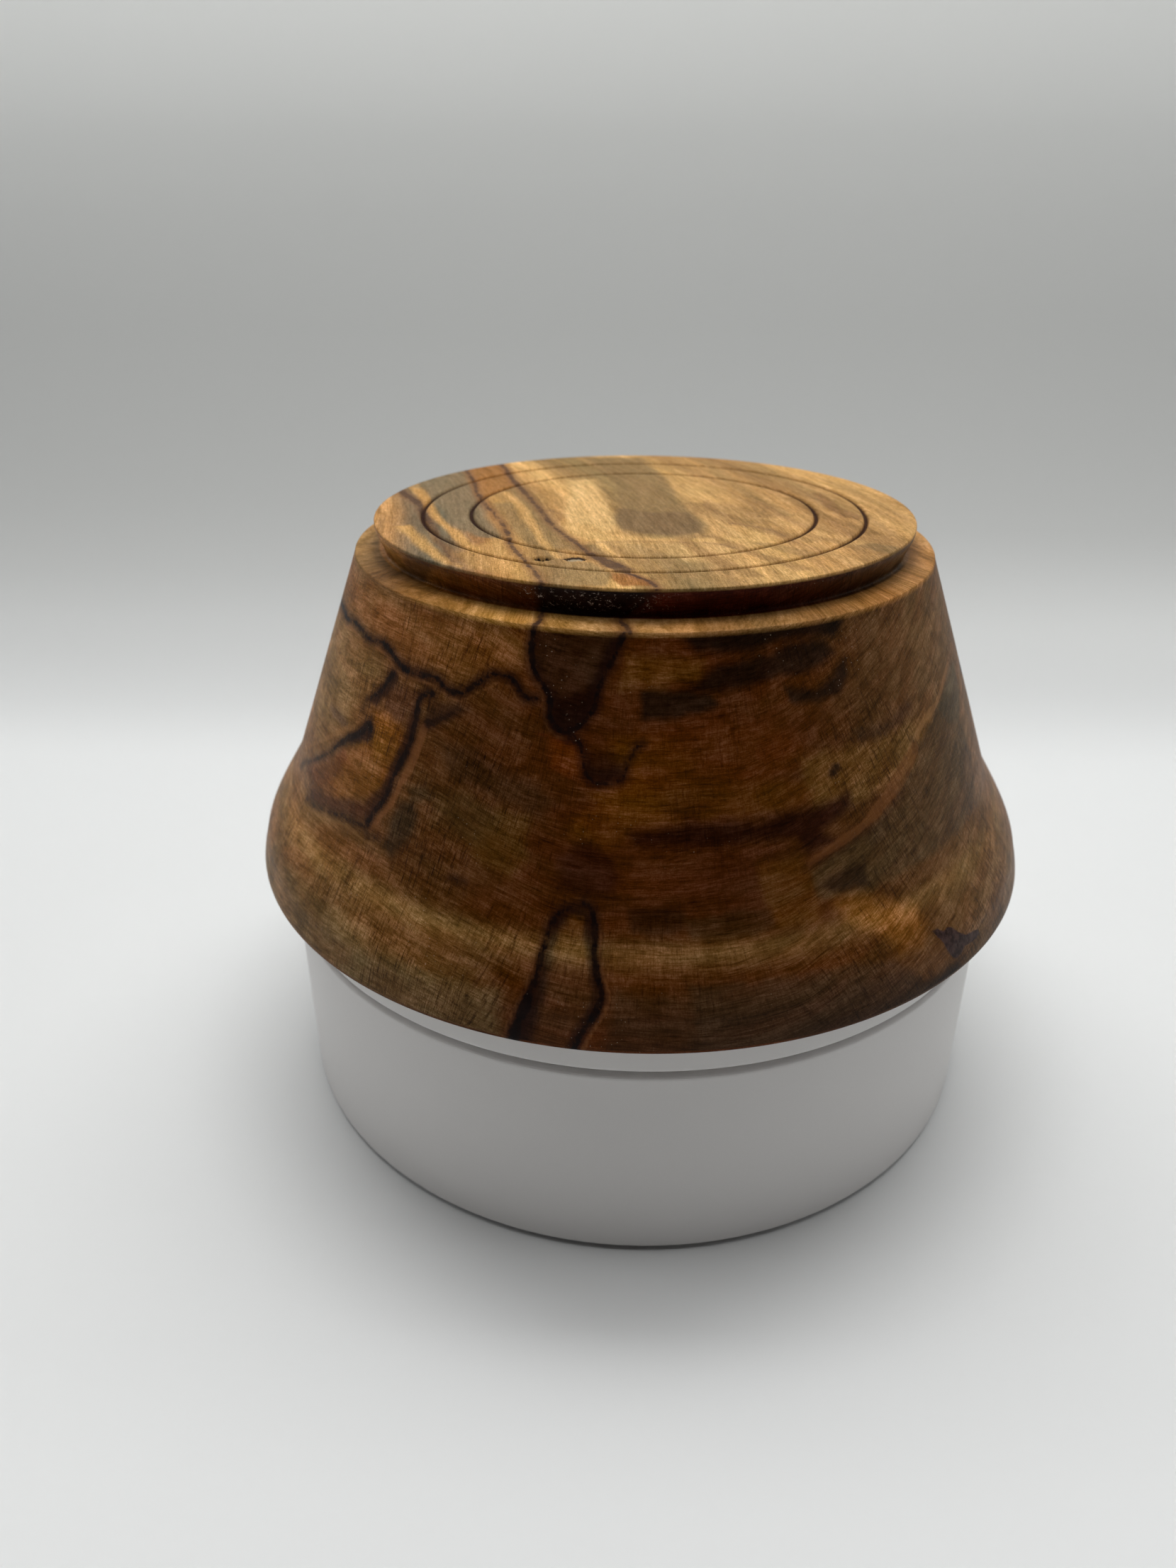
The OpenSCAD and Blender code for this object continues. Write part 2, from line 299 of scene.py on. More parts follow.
# voids in the foot's face: x, y, half length, half width, turn (degrees), depth
PITS = rows("-12,-25.75,1.15,1.0,8,0.9 -8.15,-25.4,1.65,1.15,12,0.42")


def pit_field(points, pit):
    """0 outside a void to 1 at its bottom."""
    x, y, half_length, half_width, turn, _ = pit
    cos, sin = math.cos(math.radians(turn)), math.sin(math.radians(turn))
    dx, dy = points[:, 0] - x, points[:, 1] - y
    along, across = (cos * dx + sin * dy) / half_length, (-sin * dx + cos * dy) / half_width
    reach = np.sqrt(along ** 2 + across ** 2) + 0.5 * fractal_noise(points * 1.4, 2, 31)
    return 1 - smooth(0.62, 1.05, reach)


def mug_warp(points):
    """Sinks the voids and adds the slight unevenness of hand turning."""
    x, y, z = points.T
    lift = np.zeros(len(points))
    for pit in PITS:
        near = (z > MUG_H - 1.3) & (np.hypot(x - pit[0], y - pit[1]) < 4)
        lift -= np.where(near, pit_field(points, pit) * pit[5], 0)
    uneven = fractal_noise(points * 0.08, 2, 3) * 0.10 - 0.05
    radius = np.hypot(x, y)
    turned = (radius > 1) & (z > 8) & (z < MUG_H - 4.5)
    scale = np.where(turned, 1 + uneven / np.maximum(radius, 1), 1)
    return np.stack([x * scale, y * scale, z + lift + Z0], 1)


mug, points = lathe("turned_mug", sum(sections, []), COLUMNS, mug_warp)
points[:, 2] -= Z0
ring_zone = np.repeat(range(6), [len(s) for s in sections])
zone = np.concatenate([np.repeat(ring_zone, COLUMNS), [FACE, INSIDE]])
x, y, z = points.T
radius = np.hypot(x, y)
angle = np.degrees(np.arctan2(x, -y))          # 0 at the front, positive to the right
is_face = zone == FACE
is_body = zone == BODY

# ---------------------------------------------------------------- wood figure tables
# On the body a point is (degrees round from the front, height in mm).
# Lines: half-width at start and end (mm), strength | points
BODY_LINES = read_table("""
long: 0.34 0.55 1 | -15.3,43.4 -16.1,43.2 -17.3,43.4 -18.4,44 -19.2,44.8 -20.4,45.2 -22.7,45.2
    -23.7,45 -25,44.3 -26.2,43.6 -27.8,42.6 -29.7,42.3 -32,42.7 -33.6,43.3 -38.1,43.1 -40.6,43.1
    -43,43.4 -45.1,44.2 -48.4,44.7 -52.9,44.4 -57,44.7 -61.5,44.7 -65.6,44.2 -69.7,44.4 -77.5,43.8
    -80,43.2 -96,43.6 -112,41.5 -128,42.5 -150,39.5 -166,37 -180,38.5 -195,36.5 -212,38 -228,33.5
    -245,35 -262,31 -275,32.5 -283,36;
drop: 0.42 0.36 1 | -17.2,51 -17.1,48.6 -16.7,47.1 -15.9,45.8 -14.7,45 -13.7,43.9 -13.2,43
    -13.3,42 -12.6,41 -11.7,40.4 -10.8,40.2 -9.8,40.3 -8.7,40.9 -7.7,41.7 -6.8,42.6 -6.3,43.4
    -6.2,44.2 -5.9,45.2 -5.3,46.3 -4.6,47.3 -4,48.3 -3.4,49.3 -2.4,51;
tongue: 0.3 0.24 0.9 | -10.2,39.5 -8.9,39.3 -8.2,38.9 -7.8,38.1 -7.6,37.1 -7.2,36.1 -6.5,35.4
    -5.3,35 -3.8,35.1 -2.6,35.4 -1.9,36 -1.5,36.8 -1,37.8 -0.2,38.8 0.8,39.4;
blob_left: 0.25 0.75 1 | -6.5,21.9 -7.5,21.5 -8.7,21 -10,20 -10.5,19 -10.8,17.6 -11.2,15.9
    -11.4,14.2 -11.9,12.5 -12.4,10.8 -13,9.1 -13.4,7.8 -13.7,6;
blob_right: 0.36 0.46 1 | -6.5,21.9 -5.5,21.5 -5.1,20.7 -4.8,19 -4.6,17 -4.3,15.3 -3.8,14
    -3.4,12.9 -3.7,11.9 -4.4,10.5 -5.3,9.1 -6,7.6 -6.5,6;
heart_a: 0.5 0.16 0.85 | -43.7,42.1 -44.6,40.9 -45.4,39.8 -46.7,38.8 -48,38.1 -49.3,37.3
    -49.6,36.3;
heart_b: 0.55 0.2 0.85 | -46.2,34.6 -47.1,35 -48.2,34 -49.6,33 -51.3,32.2 -52.9,31.4 -54.7,30.2
    -56.7,28.7 -58.6,27.6 -61.1,26.3 -63.6,25.1 -66,24 -68.1,23.1 -70.5,21.5;
heart_c: 0.4 0.5 0.9 | -33.7,41.4 -34.6,41.6 -35.9,40.8 -36.4,40.1 -36.2,38.6 -36.3,36.7 -36.6,35
    -37.3,33.3 -38.4,31.2 -38.9,29.4 -39.5,27.8 -40.7,26.4 -41.6,25.1 -42,24;
heart_d: 0.65 0.15 0.6 | -33.7,38.1 -32.2,38.6 -30.7,39.3 -28.9,40.2 -26.8,41;
heart_e: 0.22 0.15 0.9 | -43.9,23.5 -42.4,23.2 -41.1,22.7 -40,22.9 -39.3,23.2;
heart_f: 0.38 0.2 0.7 | -43.4,23.4 -45.9,23.1 -48,22.9 -50.4,22.4 -52.9,21.9 -55.4,21.3
    -57.8,20.9 -61.5,20.4;
tick_left: 0.16 0.1 0.8 | -25.3,22 -24.7,22.15 -24,21.85 -23.1,21.9;
tick_right: 0.3 0.1 0.5 | 46.9,34.5 47.2,34 47.3,33.3;
edge_right: 0.15 0.1 0.45 | 23.2,24.4 27.3,25.2 30.6,25.9 33.9,26.8 36.3,27.1 38.8,28 40.4,28.7
    42.9,30.2 44.5,31.2;
back_drop: 0.3 0.3 0.95 | 138,50.2 139,47.5 141,44.5 142.5,41.8 145,40.4 147.5,41 149.5,43.4
    151,46.4 153,50.2;
back_blob: 0.5 0.35 0.95 | -121,6 -120,9.5 -118.5,13.5 -117.6,17 -115.5,20.2 -112.5,21.2
    -110,19.6 -109,16 -110.2,12 -112.5,8.6 -113.5,6;
back_a: 0.16 0.4 0.8 | 98,25 104,28.5 109,27.6 116,31 121,35 126,33.5;
back_b: 0.2 0.42 0.85 | -160,24 -151,27 -146,25.6 -138,29.2 -131,33 -127,37.5 -128,42;
back_c: 0.2 0.3 0.7 | 165,9 171,13.5 178,14.5 186,12 193,8;
""")
WALL_LINES = read_table("""
left: 0.3 0.3 1 | -17.4,55 -17.8,53.6 -17.5,51.8;
right: 0.3 0.3 1 | 2.4,55 0.4,53.6 -2.6,51.8;
""")
# points are (degrees, radius)
SHOULDER_LINES = read_table("""
left: 0.35 0.42 0.95 | -17.8,36.4 -17.3,38 -16.9,39.4 -17.1,40.5;
right: 0.3 0.4 0.85 | -3.4,36.6 -3.2,38 -2.2,39.2 -1.6,40.5;
""")
# Pale bands beside the body lines: half-widths, strength, colour as lit | points
MARGINS = read_table("""
drop: 0.22 0.15 0.8 98 62 38 | -17.9,50.2 -17.8,48.6 -17.3,46.7 -16.5,45.5 -15.3,44.6 -14.5,43.6
    -14.2,42.7 -14.1,41.8 -13.4,40.6 -12.2,39.8 -10.8,39.5;
long: 0.22 0.14 0.8 112 72 45 | -64.4,43.4 -61.1,43.8 -57,43.7 -52.9,43.5 -48.4,43.9 -45.1,43.3
    -43.4,42.6 -40.6,42.3 -35.6,42.4 -32.8,42.2 -29.7,41.6 -27.4,41.9 -25.4,42.9 -22.9,44
    -22.3,44.4 -20.4,44.4 -19.2,43.6 -17.7,42.7 -15.3,42.6;
blob_left: 0.16 0.25 0.75 104 66 40 | -11,19.9 -11.5,17.6 -12,15.6 -12.4,13.6 -13.1,11.5
    -13.9,9.5 -14.6,7.4 -14.9,6.2;
blob_right: 0.16 0.3 0.8 110 68 42 | -4.1,19 -3.9,17 -3.6,15.3 -3,13.9 -2.7,12.9 -2.9,11.5
    -3.7,10 -4.6,8.4 -5.4,6.5;
blob_top: 0.15 0.15 0.5 95 58 32 | -8.7,22 -6.7,22.4 -5.1,22;
heart: 0.7 0.35 0.8 98 60 36 | -34.2,37.4 -34.9,35 -35.7,32.6 -36.9,30.2 -37.9,27.8 -39.2,26.1
    -40.6,24.3 -41.2,23.4;
red: 0.14 0.2 0.6 78 30 10 | -15.3,39.8 -13.2,39.5 -11.2,39.1 -9.2,39.2 -8.3,39;
right_a: 0.35 1.2 0.6 96 58 33 | 24,24.9 24.9,25.2 27.3,25.9 30,26.6 32.6,27.2 34.7,27.9
    36.7,28.7 38.8,29.6 40.8,30.5 42.9,31.5 44.9,32.5 46.9,33.5;
right_b: 0.55 0.3 0.6 112 78 50 | 48,34.6 49,35.3 51.1,36 53.5,36.4 56,36.8 58,37.4 61.7,38.7
    66.6,40.1;
left_low: 0.3 0.4 0.5 118 82 52 | -69,24.9 -64,27.5 -60,29.4 -56,31.4 -53,32.9 -51,33.6;
hook: 0.3 0.25 0.6 112 82 52 | -62,19.6 -56,20.4 -51,21.6 -46,22.2 -42,21.8 -39.4,22.2;
""")
# Patches, laid in this order: softness (mm), strength, colour as lit | outline
BODY_PATCHES = read_table("""
upper_left: 1.4 0.55 100 64 38 | -80,50 -80,45.5 -61,45.5 -48,45.6 -34,44.2 -28,44 -24,46
    -19,46.5 -18,50;
left_mid: 2.2 0.5 100 74 50 | -78,42 -62,43 -52,42.5 -47,41.5 -50,37 -53,34 -62,30 -72,28;
left_streak: 0.5 0.6 66 46 36 | -62,33.6 -55,33.9 -52.6,33.2 -55,32.4 -62,32.9;
heart: 0.9 0.75 94 58 28 | -46.3,36.7 -43,37.4 -39.3,37 -38.1,35 -38.9,31.9 -40.2,29.2 -43,27.2
    -47.1,25.8 -51.3,24.1 -57,23.1 -62.3,23.4 -57,26.5 -52.1,29.9 -47.6,32.6 -45.1,34;
heart_gold: 0.8 0.6 110 70 34 | -45.5,36.6 -42,37 -40.6,35.4 -41.2,33 -43.8,31.6 -44.6,33.6;
heart_low: 1 0.5 80 52 34 | -67.7,22.4 -57,26.5 -51.3,23.8 -43.9,24.4 -43.9,23.4 -51.3,22.6
    -58.6,21 -66.4,21.4;
heart_top: 0.8 0.6 62 38 25 | -43,41.5 -37.3,41.1 -37.1,39.1 -38.5,36.7 -43,37.7 -45.1,39.1;
heart_left: 0.7 0.5 78 44 25 | -56,28.6 -52.5,30.6 -50.6,29.6 -52,27 -56,24.6 -61,23 -66,22.6
    -66,24;
heart_band_right: 0.45 0.6 46 24 13 | -35.6,40.6 -36,38.4 -36.1,36.6 -36.4,34.9 -37,33.2
    -38.1,31.2 -38.7,29.3 -39.3,27.7 -40.5,26.2 -41.4,25 -42.2,24.2 -44.6,24.9 -43,26.8 -41.2,28.6
    -40.1,30.6 -39.2,32.6 -38.2,34.6 -37.8,36.6 -37.6,38.6 -36.8,40.4;
heart_band_low: 0.5 0.58 48 25 14 | -42.6,24 -45.9,23.5 -50.4,22.8 -55.4,21.7 -60,20.9 -61,22
    -56,23.2 -51.5,24.3 -47.5,25.4 -44.8,26;
heart_tip: 0.35 0.65 38 20 12 | -45.2,35 -46.6,35.7 -49.6,33.6 -52.4,31.9 -50.4,31.5 -47.6,32.6
    -45.6,33.2;
heart_dark: 0.35 0.65 38 21 13 | -43,42.4 -42,41.4 -44,39.4 -46.2,37.6 -48,37.6 -46.6,39.2
    -45,41;
heart_smudge: 0.5 0.62 42 24 14 | -35.2,37.4 -34.4,39.8 -32.4,40.9 -28.6,41.3 -27.4,40.7 -30,39.2
    -33,37.6 -34.6,36.7;
olive_dark_a: 0.9 0.65 40 28 18 | -36.5,28.2 -34,28.9 -32,27.2 -33.2,23.8 -36.1,21.4 -38.5,22.4
    -37.3,25.5;
olive_dark_b: 0.7 0.5 44 32 20 | -35.6,30.2 -31.5,31.2 -30.7,29.9 -34,28.5;
brown_left: 1.5 0.35 62 34 16 | -34,37 -27,40 -18,39 -14,36 -16,31 -26,32 -33,33;
dark_left: 0.9 0.4 40 24 12 | -31,36.5 -24,37 -17,35 -11,32.5 -13,30.5 -20,32 -28,33;
olive_light: 0.8 0.4 74 50 24 | -19.4,30.9 -14.9,30.6 -14.7,25.8 -16.5,23.4 -21.4,24.4 -23.9,26.5;
drop_in: 0.4 0.8 40 22 12 | -16.6,51.2 -16.4,47 -14.6,45 -12.9,42 -10.8,40.4 -8,41.6 -6.6,44
    -5,47.2 -2.9,51.2;
drop_low: 0.7 0.85 24 8 4 | -13,42.3 -12.4,43.8 -9.2,44.5 -6.3,44.2 -6.5,43 -8.3,41.4 -10.6,40.4
    -12.4,41.1;
drop_edge: 0.5 0.5 28 12 5 | -5.5,50 -3.4,50 -5.4,46 -6.8,43.5 -8,44.5;
orange_tip: 0.7 0.55 78 36 9 | -12.4,39.3 -7.9,39 -7.5,36 -9.6,35.3 -12.4,36;
tongue_in: 0.6 0.6 34 14 4 | -7.5,38.1 -1,38.4 -1.8,36.3 -3.4,35.3 -5.9,35.3 -7.3,36.3;
blob_gold: 1.6 0.6 72 44 22 | -9.4,20.6 -6.5,21.5 -5.3,20.4 -4.9,14.3 -10.9,14.3 -10.3,19;
blob_red: 1.2 0.7 58 33 19 | -10.8,16.3 -4.6,16.3 -3.8,13.2 -5.9,9.5 -7.1,6 -12.6,6 -11.6,11.2;
blob_shade: 0.6 0.75 25 11 8 | -10.2,20.2 -11.2,15.9 -12,12.5 -13.6,7.8 -14,6 -11.6,6 -10.7,9
    -9.9,13 -9.5,17 -8.6,20.2;
blob_shade_right: 0.4 0.6 28 14 8 | -6.5,21.9 -5.1,20.7 -4.6,17 -3.4,13 -5.4,9 -6.6,6 -7.4,6
    -6,9.6 -4.6,13 -5.6,17 -6.4,20.4 -8.4,20.6 -8.4,21.2;
drop_shade: 0.35 0.6 24 10 6 | -3.2,50 -4.9,47.2 -6.1,44.8 -6.4,43 -9.8,40.4 -12.6,41 -11,42.6
    -8.8,43.2 -7,45.6 -5.7,48 -4.6,50;
tongue_low: 0.45 0.8 27 11 5 | -7.4,37 -6.6,35.7 -4,35.2 -2,36 -0.6,38.4 -2,37.6 -3.6,36.7
    -6,36.8;
band_right_a: 0.7 0.8 24 12 6 | 12.1,47.7 20.3,48.2 24.9,48.9 30.6,48.6 32.6,47.2 29.8,45.9
    24.9,45.5 22.4,45.7 17,44.9 12.5,44.7 8,44.4 5.6,44.5 8,45.5;
band_right_b: 0.6 0.75 27 15 8 | 22.4,44.7 24.9,44 28.9,43.8 31.8,44.9 34.3,46.2 34.9,44.2
    32.6,42.6 27.3,42.3 23.2,42.8;
band_right_c: 0.4 0.72 26 14 7 | 0.3,45.2 2.3,45.3 6.4,44.7 10.5,44.2 12.5,43.5 9.7,42.6 6.4,42.1
    2.3,42 0.7,42.1;
band_top: 0.8 0.94 18 9 5 | 5,51 14,51 36,51 33,48.9 24,49.4 18,48.4 9,48.8;
gold_top: 0.8 0.6 82 52 26 | -3,44.9 -2,48.4 4,48.2 10,47.9 9,46.2 4,45.6 0,45.4;
gold_a: 0.8 0.6 78 44 16 | -5,32.5 2,33 6,31.2 1,30.6 -1.4,30 -4,28.4 -9,29 -9,31;
gold_b: 1.2 0.5 66 46 27 | -30,31 -24,31.6 -19,30 -22,26 -30,27.4;
gold_c: 0.6 0.55 74 42 17 | 18,34.5 28,33.8 32,32.6 27,31.8 16,31.4 9,31.6 10,33;
gold_d: 0.7 0.55 92 66 42 | 45,34.5 50,35 56,33 52,29.6 46,29 42,30;
gold_e: 1.2 0.6 80 45 13 | -4,39.6 3,40.4 8,38 7,35 3,31.8 -4,31.6 -6,33.6 -1,35.5;
gold_right: 1 0.6 84 58 33 | 24,36.6 36,36.6 52,36.8 55,35 52,32 40,31 30,30 26,31;
low_edge: 0.9 0.8 26 15 9 | 7,8.2 20,8.6 34,8.1 46,7.6 46,6 6,6;
warm_mid: 1.6 0.5 66 32 8 | 0,41 12,41.5 22,40.5 26,37 16,33 4,33 0,36;
olive_mid: 1 0.35 64 36 8 | 6,36.5 15,35.5 22,34 20,31.8 8,31.6 2,32.6;
band_mid: 0.8 0.75 30 10 3 | -0.6,29.9 3.9,30.4 8,30.9 12.1,30.4 16.6,30.3 22.4,30.9 28.8,31.4
    32.2,31.9 32.2,29.9 26.5,28.2 28.5,26.5 24,26.1 22.4,27.8 16.2,28.5 8,28.5 2.3,28.5 -0.1,28.5;
red_mid: 0.8 0.6 36 14 5 | -10.4,26.8 -6.7,28.5 -2.6,27.2 -1.8,25.1 -2.6,23.1 -5.9,22.6 -10,23.1;
gold_mid: 0.6 0.5 66 34 8 | -7,31.5 -2,31 -1.4,28.6 -3.4,27.8 -6.4,29.4;
block_a: 0.5 0.55 36 18 7 | -0.6,21.4 2.3,21.9 6.4,21.4 6.8,19.3 3.1,18.7 -0.1,19.2;
block_b: 0.5 0.5 42 26 13 | 6.8,20.4 12.1,21 18.3,20.4 18.3,18.7 12.1,18.1 7.2,18.5;
block_c: 0.7 0.6 68 40 15 | 16.6,25.8 22.4,26 24.8,24.4 25.6,20.7 24,18.7 18.7,18.7 17,21.7;
grey_right_a: 0.5 0.7 62 44 29 | 23.6,24.1 33.9,26.7 39.6,28.5 45.3,31.2 48.6,34 57.2,36.7
    63.3,35 67.4,26.5 63.3,21.4 47,20.4 38.8,20.4 32.6,19.7 24.9,21;
grey_right_b: 0.5 0.65 34 21 12 | 24.4,22.1 29.8,23.4 33,23.1 33.5,20.7 31,20.2 26.5,21.4;
grey_right_c: 0.6 0.35 46 31 20 | 33.5,26.6 38.4,27.7 38.8,25.8 34.7,24.4;
orange_right: 1.5 0.62 98 62 32 | 27.3,19.7 30.6,20.4 33.9,18.7 37.1,17.6 40,16.3 40.4,14.2
    38.8,12.9 35.5,13 32.6,15.9 28.5,17.6;
slate_right: 0.5 0.6 54 44 34 | 56.4,36 59.2,37.2 63.3,38.7 66.6,39.4 69.5,38.4 68.7,35
    65.4,32.6 59.2,33.3;
spot_right: 0.2 0.7 28 16 8 | 28.5,34.3 29.4,35 30.8,35.2 30.8,34.5 29.8,33.9 28.7,33.8;
swirl_right: 0.7 0.5 46 30 20 | 34,38.4 42,38 49,39.6 48,38 41,36.4 35,36.6;
low_left_a: 1.2 0.7 74 56 40 | -36,11.5 -16,11.5 -14.9,6 -40,6;
low_left_b: 1.5 0.35 78 62 44 | -66,12.8 -36,13.5 -34,6 -70,6;
low_right: 1 0.55 46 28 17 | -2,13.6 8,12.8 20,13.2 30,11.6 38,9 40,6 -3,6;
low_grey: 0.6 0.5 48 32 23 | 7,14 20,13.6 28,13.4 34,12.4 40,6 8,6;
back_heart: 0.9 0.6 84 52 24 | -150,36 -139,37 -133,33 -136,28 -144,25 -156,24 -162,27;
back_drop: 0.4 0.75 42 22 11 | 139,50.3 141,45 145,41 149,43 152.5,50.3;
back_blob: 0.4 0.75 62 32 14 | -120.5,6 -118,14 -115,19.6 -111,19 -110,15 -113.5,6;
back_dark_a: 0.9 0.6 34 20 11 | 98,44 118,46 132,43 124,40 104,41;
back_dark_b: 0.9 0.55 38 20 10 | 150,30 172,31 196,28 184,24 160,25;
back_gold: 2 0.42 84 55 31 | 100,20 118,21.4 136,19 132,16 118,14.4 104,15.5;
back_grey: 0.8 0.5 72 54 38 | -104,36 -88,38 -84,30 -96,24 -108,28;
""")
KNOT = rows("""41.4,13.3 42.5,13.2 43.5,12.5 44.7,12.7 45.5,12.2 46.6,11.2 48,10.3 49.8,10
    51.3,9.6 51.5,9 50.6,8.6 48.6,8.8 47.4,9 46.6,8.4 45.3,8.2 44.3,9 43.5,10.2 42.9,11.5 42,12.5""")

# On the foot's face a point is (x, y) in mm. The last six are thin growth lines.
FACE_LINES = read_table("""
left: 0.42 0.34 0.85 | -29.4,25.6 -28,21.5 -26.3,15.5 -25.1,10 -23.8,5.5 -22.5,1.5 -21,-2.5
    -19.5,-7 -18.3,-11 -17.4,-15 -16.5,-19.5 -15.3,-23.5 -14,-27 -12.5,-31.5 -11,-36.4;
middle_a: 0.5 0.38 0.8 | -23.9,28.9 -22.5,25.5 -21.5,21.5 -20.5,18 -19.1,14 -17.8,10 -16.5,6
    -15.1,1.5 -14,-2 -12.8,-6.5 -11.3,-11 -9.5,-15 -8,-18.5 -6.8,-22 -5.8,-24.5;
middle_b: 0.55 1.15 0.75 | -6.4,-22.6 -5,-25 -3.7,-27.4 -2.1,-30;
middle_c: 0.45 0.3 0.9 | -2.3,-30.6 -0.5,-33 1,-35 2,-37.9;
far_left_a: 0.7 0.45 0.75 | -36.2,8.4 -35,6 -33,2.5 -31.6,-0.5 -30.8,-3.5 -29.5,-7 -28.4,-10;
far_left_b: 0.4 0.2 0.5 | -28.4,-10 -26.6,-15.5 -25,-21 -23.4,-26 -22.2,-29.4;
shallow_u: 0.1 0.1 0.5 | -8,-17.5 -3,-16.5 1,-16.2 5,-16.5 9.5,-17 11.3,-19;
arc_a: 0.22 0.14 0.4 | 12,-6 17,-10 19.5,-16 22,-21;
arc_b: 0.18 0.1 0.45 | 9.5,7 9.2,4 10.5,0 12,-2;
arc_c: 0.2 0.1 0.35 | 16.5,6 18,2 20,-4 22.5,-10;
arc_d: 0.25 0.1 0.5 | -13.5,0 -11.8,-1.5 -11.2,-4 -12,-6.5;
arc_e: 0.1 0.2 0.3 | 22,18 25,9 27,1;
""")
FACE_PATCHES = read_table("""
olive_band: 0.7 0.85 134 114 88 | -35,14.5 -29.5,24.5 -26.5,15 -25,8 -23,2 -21.5,-5 -19,-12
    -18,-16.5 -21.5,-16 -24.5,-11.5 -27,-4.5 -30,2 -32,6;
orange_band: 0.6 0.85 165 114 64 | -28.8,24.7 -23.5,29 -21.5,21.5 -19.5,14.5 -21.5,10 -23.5,7
    -25,11 -26.2,16.5;
orange_strip: 0.4 0.75 205 156 96 | -37,15 -35.2,15.2 -31,4 -28.4,-4 -25.4,-11 -22.4,-17
    -19.6,-24 -21,-24 -24,-17.4 -27,-11 -30,-4 -33,4;
mid_olive: 1 0.7 152 121 80 | -21.5,3 -16,5 -12,-7 -8,-18.5 -7,-22 -14.5,-19.5 -17,-12.5
    -19.5,-4.5;
bright_streak: 0.35 0.7 208 162 104 | -21.4,10 -20.2,10.4 -17.3,3 -14.8,-7 -12.4,-16 -9.4,-25.6
    -10.6,-25.6 -13.6,-16 -16,-7 -18.6,3;
low_left_tan: 0.8 0.4 206 160 100 | -19,-16 -16.6,-20 -14,-28 -12.5,-34 -20,-31 -23,-25;
pale: 0.9 0.85 226 184 128 | -12,19 -8,19.5 -5,3 -3,-10 -6,-14 -10,-9.5 -10.8,0 -11,10;
centre_olive: 0.9 0.85 146 117 79 | -10,35 -0.5,35.5 3.5,21.5 5,8 7,0 8.5,-7 8,-11 5,-13 0,-12
    -3,-10 -4,-6 -3.5,2 -4,10 -5,19 -7.5,28;
centre_dark: 0.8 0.7 128 100 69 | -3.4,2 1,0 6.6,0 8.2,-7 7.6,-11 4.6,-12.8 0.4,-11.8 -2.6,-9
    -3.6,-4;
right_brown: 1 0.55 164 126 82 | 5.5,6 12,5.5 16.5,0 18,-6 12,-7 7.5,-1;
right_band: 0.9 0.55 166 131 86 | 14,34 19,32.5 23,21 27,10 29,2 31.5,-4 29,-4.5 26,2 24,10
    19.5,21;
right_dark: 0.4 0.6 142 103 64 | 25.2,11 26.4,11 28,3 30,-3 29.6,-5.5 27.4,-3 26,4;
right_low_a: 0.5 0.55 136 108 72 | 25,-15 27,-15 33,-20 31,-22.5 27,-18.5;
right_low_b: 0.5 0.45 150 117 76 | 13.5,-16.5 15.5,-16 22.5,-22.5 20.5,-24.5;
right_low_c: 0.5 0.4 158 122 80 | 20,-12 22,-12 29,-19 27,-21;
pale_curve: 1.1 0.75 216 172 114 | -11,-6 -7,-8 -4,-12 0,-14 6,-14.5 11,-13.5 14,-15 10,-17
    5,-17.5 0,-17.5 -5,-16.5 -9.5,-13;
low_bright: 1.5 0.5 220 176 120 | -3,-18 2,-17.5 12,-17 13.5,-20 9,-25 5,-26 2,-22;
low_band: 0.6 0.45 166 131 88 | -2,-18 0,-17.5 4,-24 7,-33 5,-33.5 1,-24;
foot_orange: 0.35 0.75 168 112 62 | -4,-31 -1,-32 1.5,-36 -2,-37 -3.5,-34;
foot_olive: 0.6 0.65 158 128 87 | -9.5,-26.5 -6,-27 -3,-32 -4,-37 -8,-36.5 -9,-32;
low_olive_a: 0.8 0.7 140 110 72 | -9,-19 -6,-18 -3,-25 -1,-30 -4,-29.5 -7,-24;
low_olive_b: 0.6 0.5 160 124 80 | -5,-17.5 -3.4,-17.5 1,-25 4,-34 2,-34.5 -1.5,-26;
right_tan_a: 0.8 0.5 160 126 82 | 9,33 11,33 15,20 18,8 21,-2 19,-2 16,8 12.5,20;
right_tan_b: 0.7 0.5 158 122 78 | 11,-2 13,-2 17,-9 23,-16 21,-16.5 15,-10;
right_tan_c: 0.45 0.6 150 112 68 | 21,9 22.5,9 26,-2 31,-13 29.5,-13.5 24,-3;
right_tan_d: 0.5 0.55 156 118 74 | 4,-14 5.6,-14 9,-22 14,-32 12,-33 7,-23;
right_tan_e: 0.45 0.5 150 112 70 | 8.5,-13 10,-13 14.5,-21 20,-29 18.4,-30 12.5,-22;
left_gold: 0.6 0.6 214 164 100 | -33,-12 -31,-11 -26,-22 -21.5,-30 -23.5,-29 -29,-20;
left_brown: 0.4 0.5 142 104 66 | -30.5,-6 -29.5,-6 -25.5,-18 -21,-28 -22.5,-28 -27,-18;
right_pale: 0.7 0.45 214 168 112 | 16,-3 19,-3 24,-11 29,-17 27,-18 21,-11.5;
back_left_grey: 0.7 0.4 136 118 92 | -36.5,12 -33,18 -31,22 -29.8,24 -31,17 -34,10;
""")

# ---------------------------------------------------------------- wood colours
# Colours are given as they look in the studio light; these gains bring back surface colour.
BODY_GAIN = 2.36 * np.array([1.0, 1.0, 0.84])
TOP_GAIN = 0.87 * np.array([1.0, 1.0, 0.94])


def as_body(colour):
    return np.clip(lin(colour) * BODY_GAIN, 0, 0.85)


def as_top(colour):
    return np.clip(lin(colour) * TOP_GAIN, 0, 0.85)


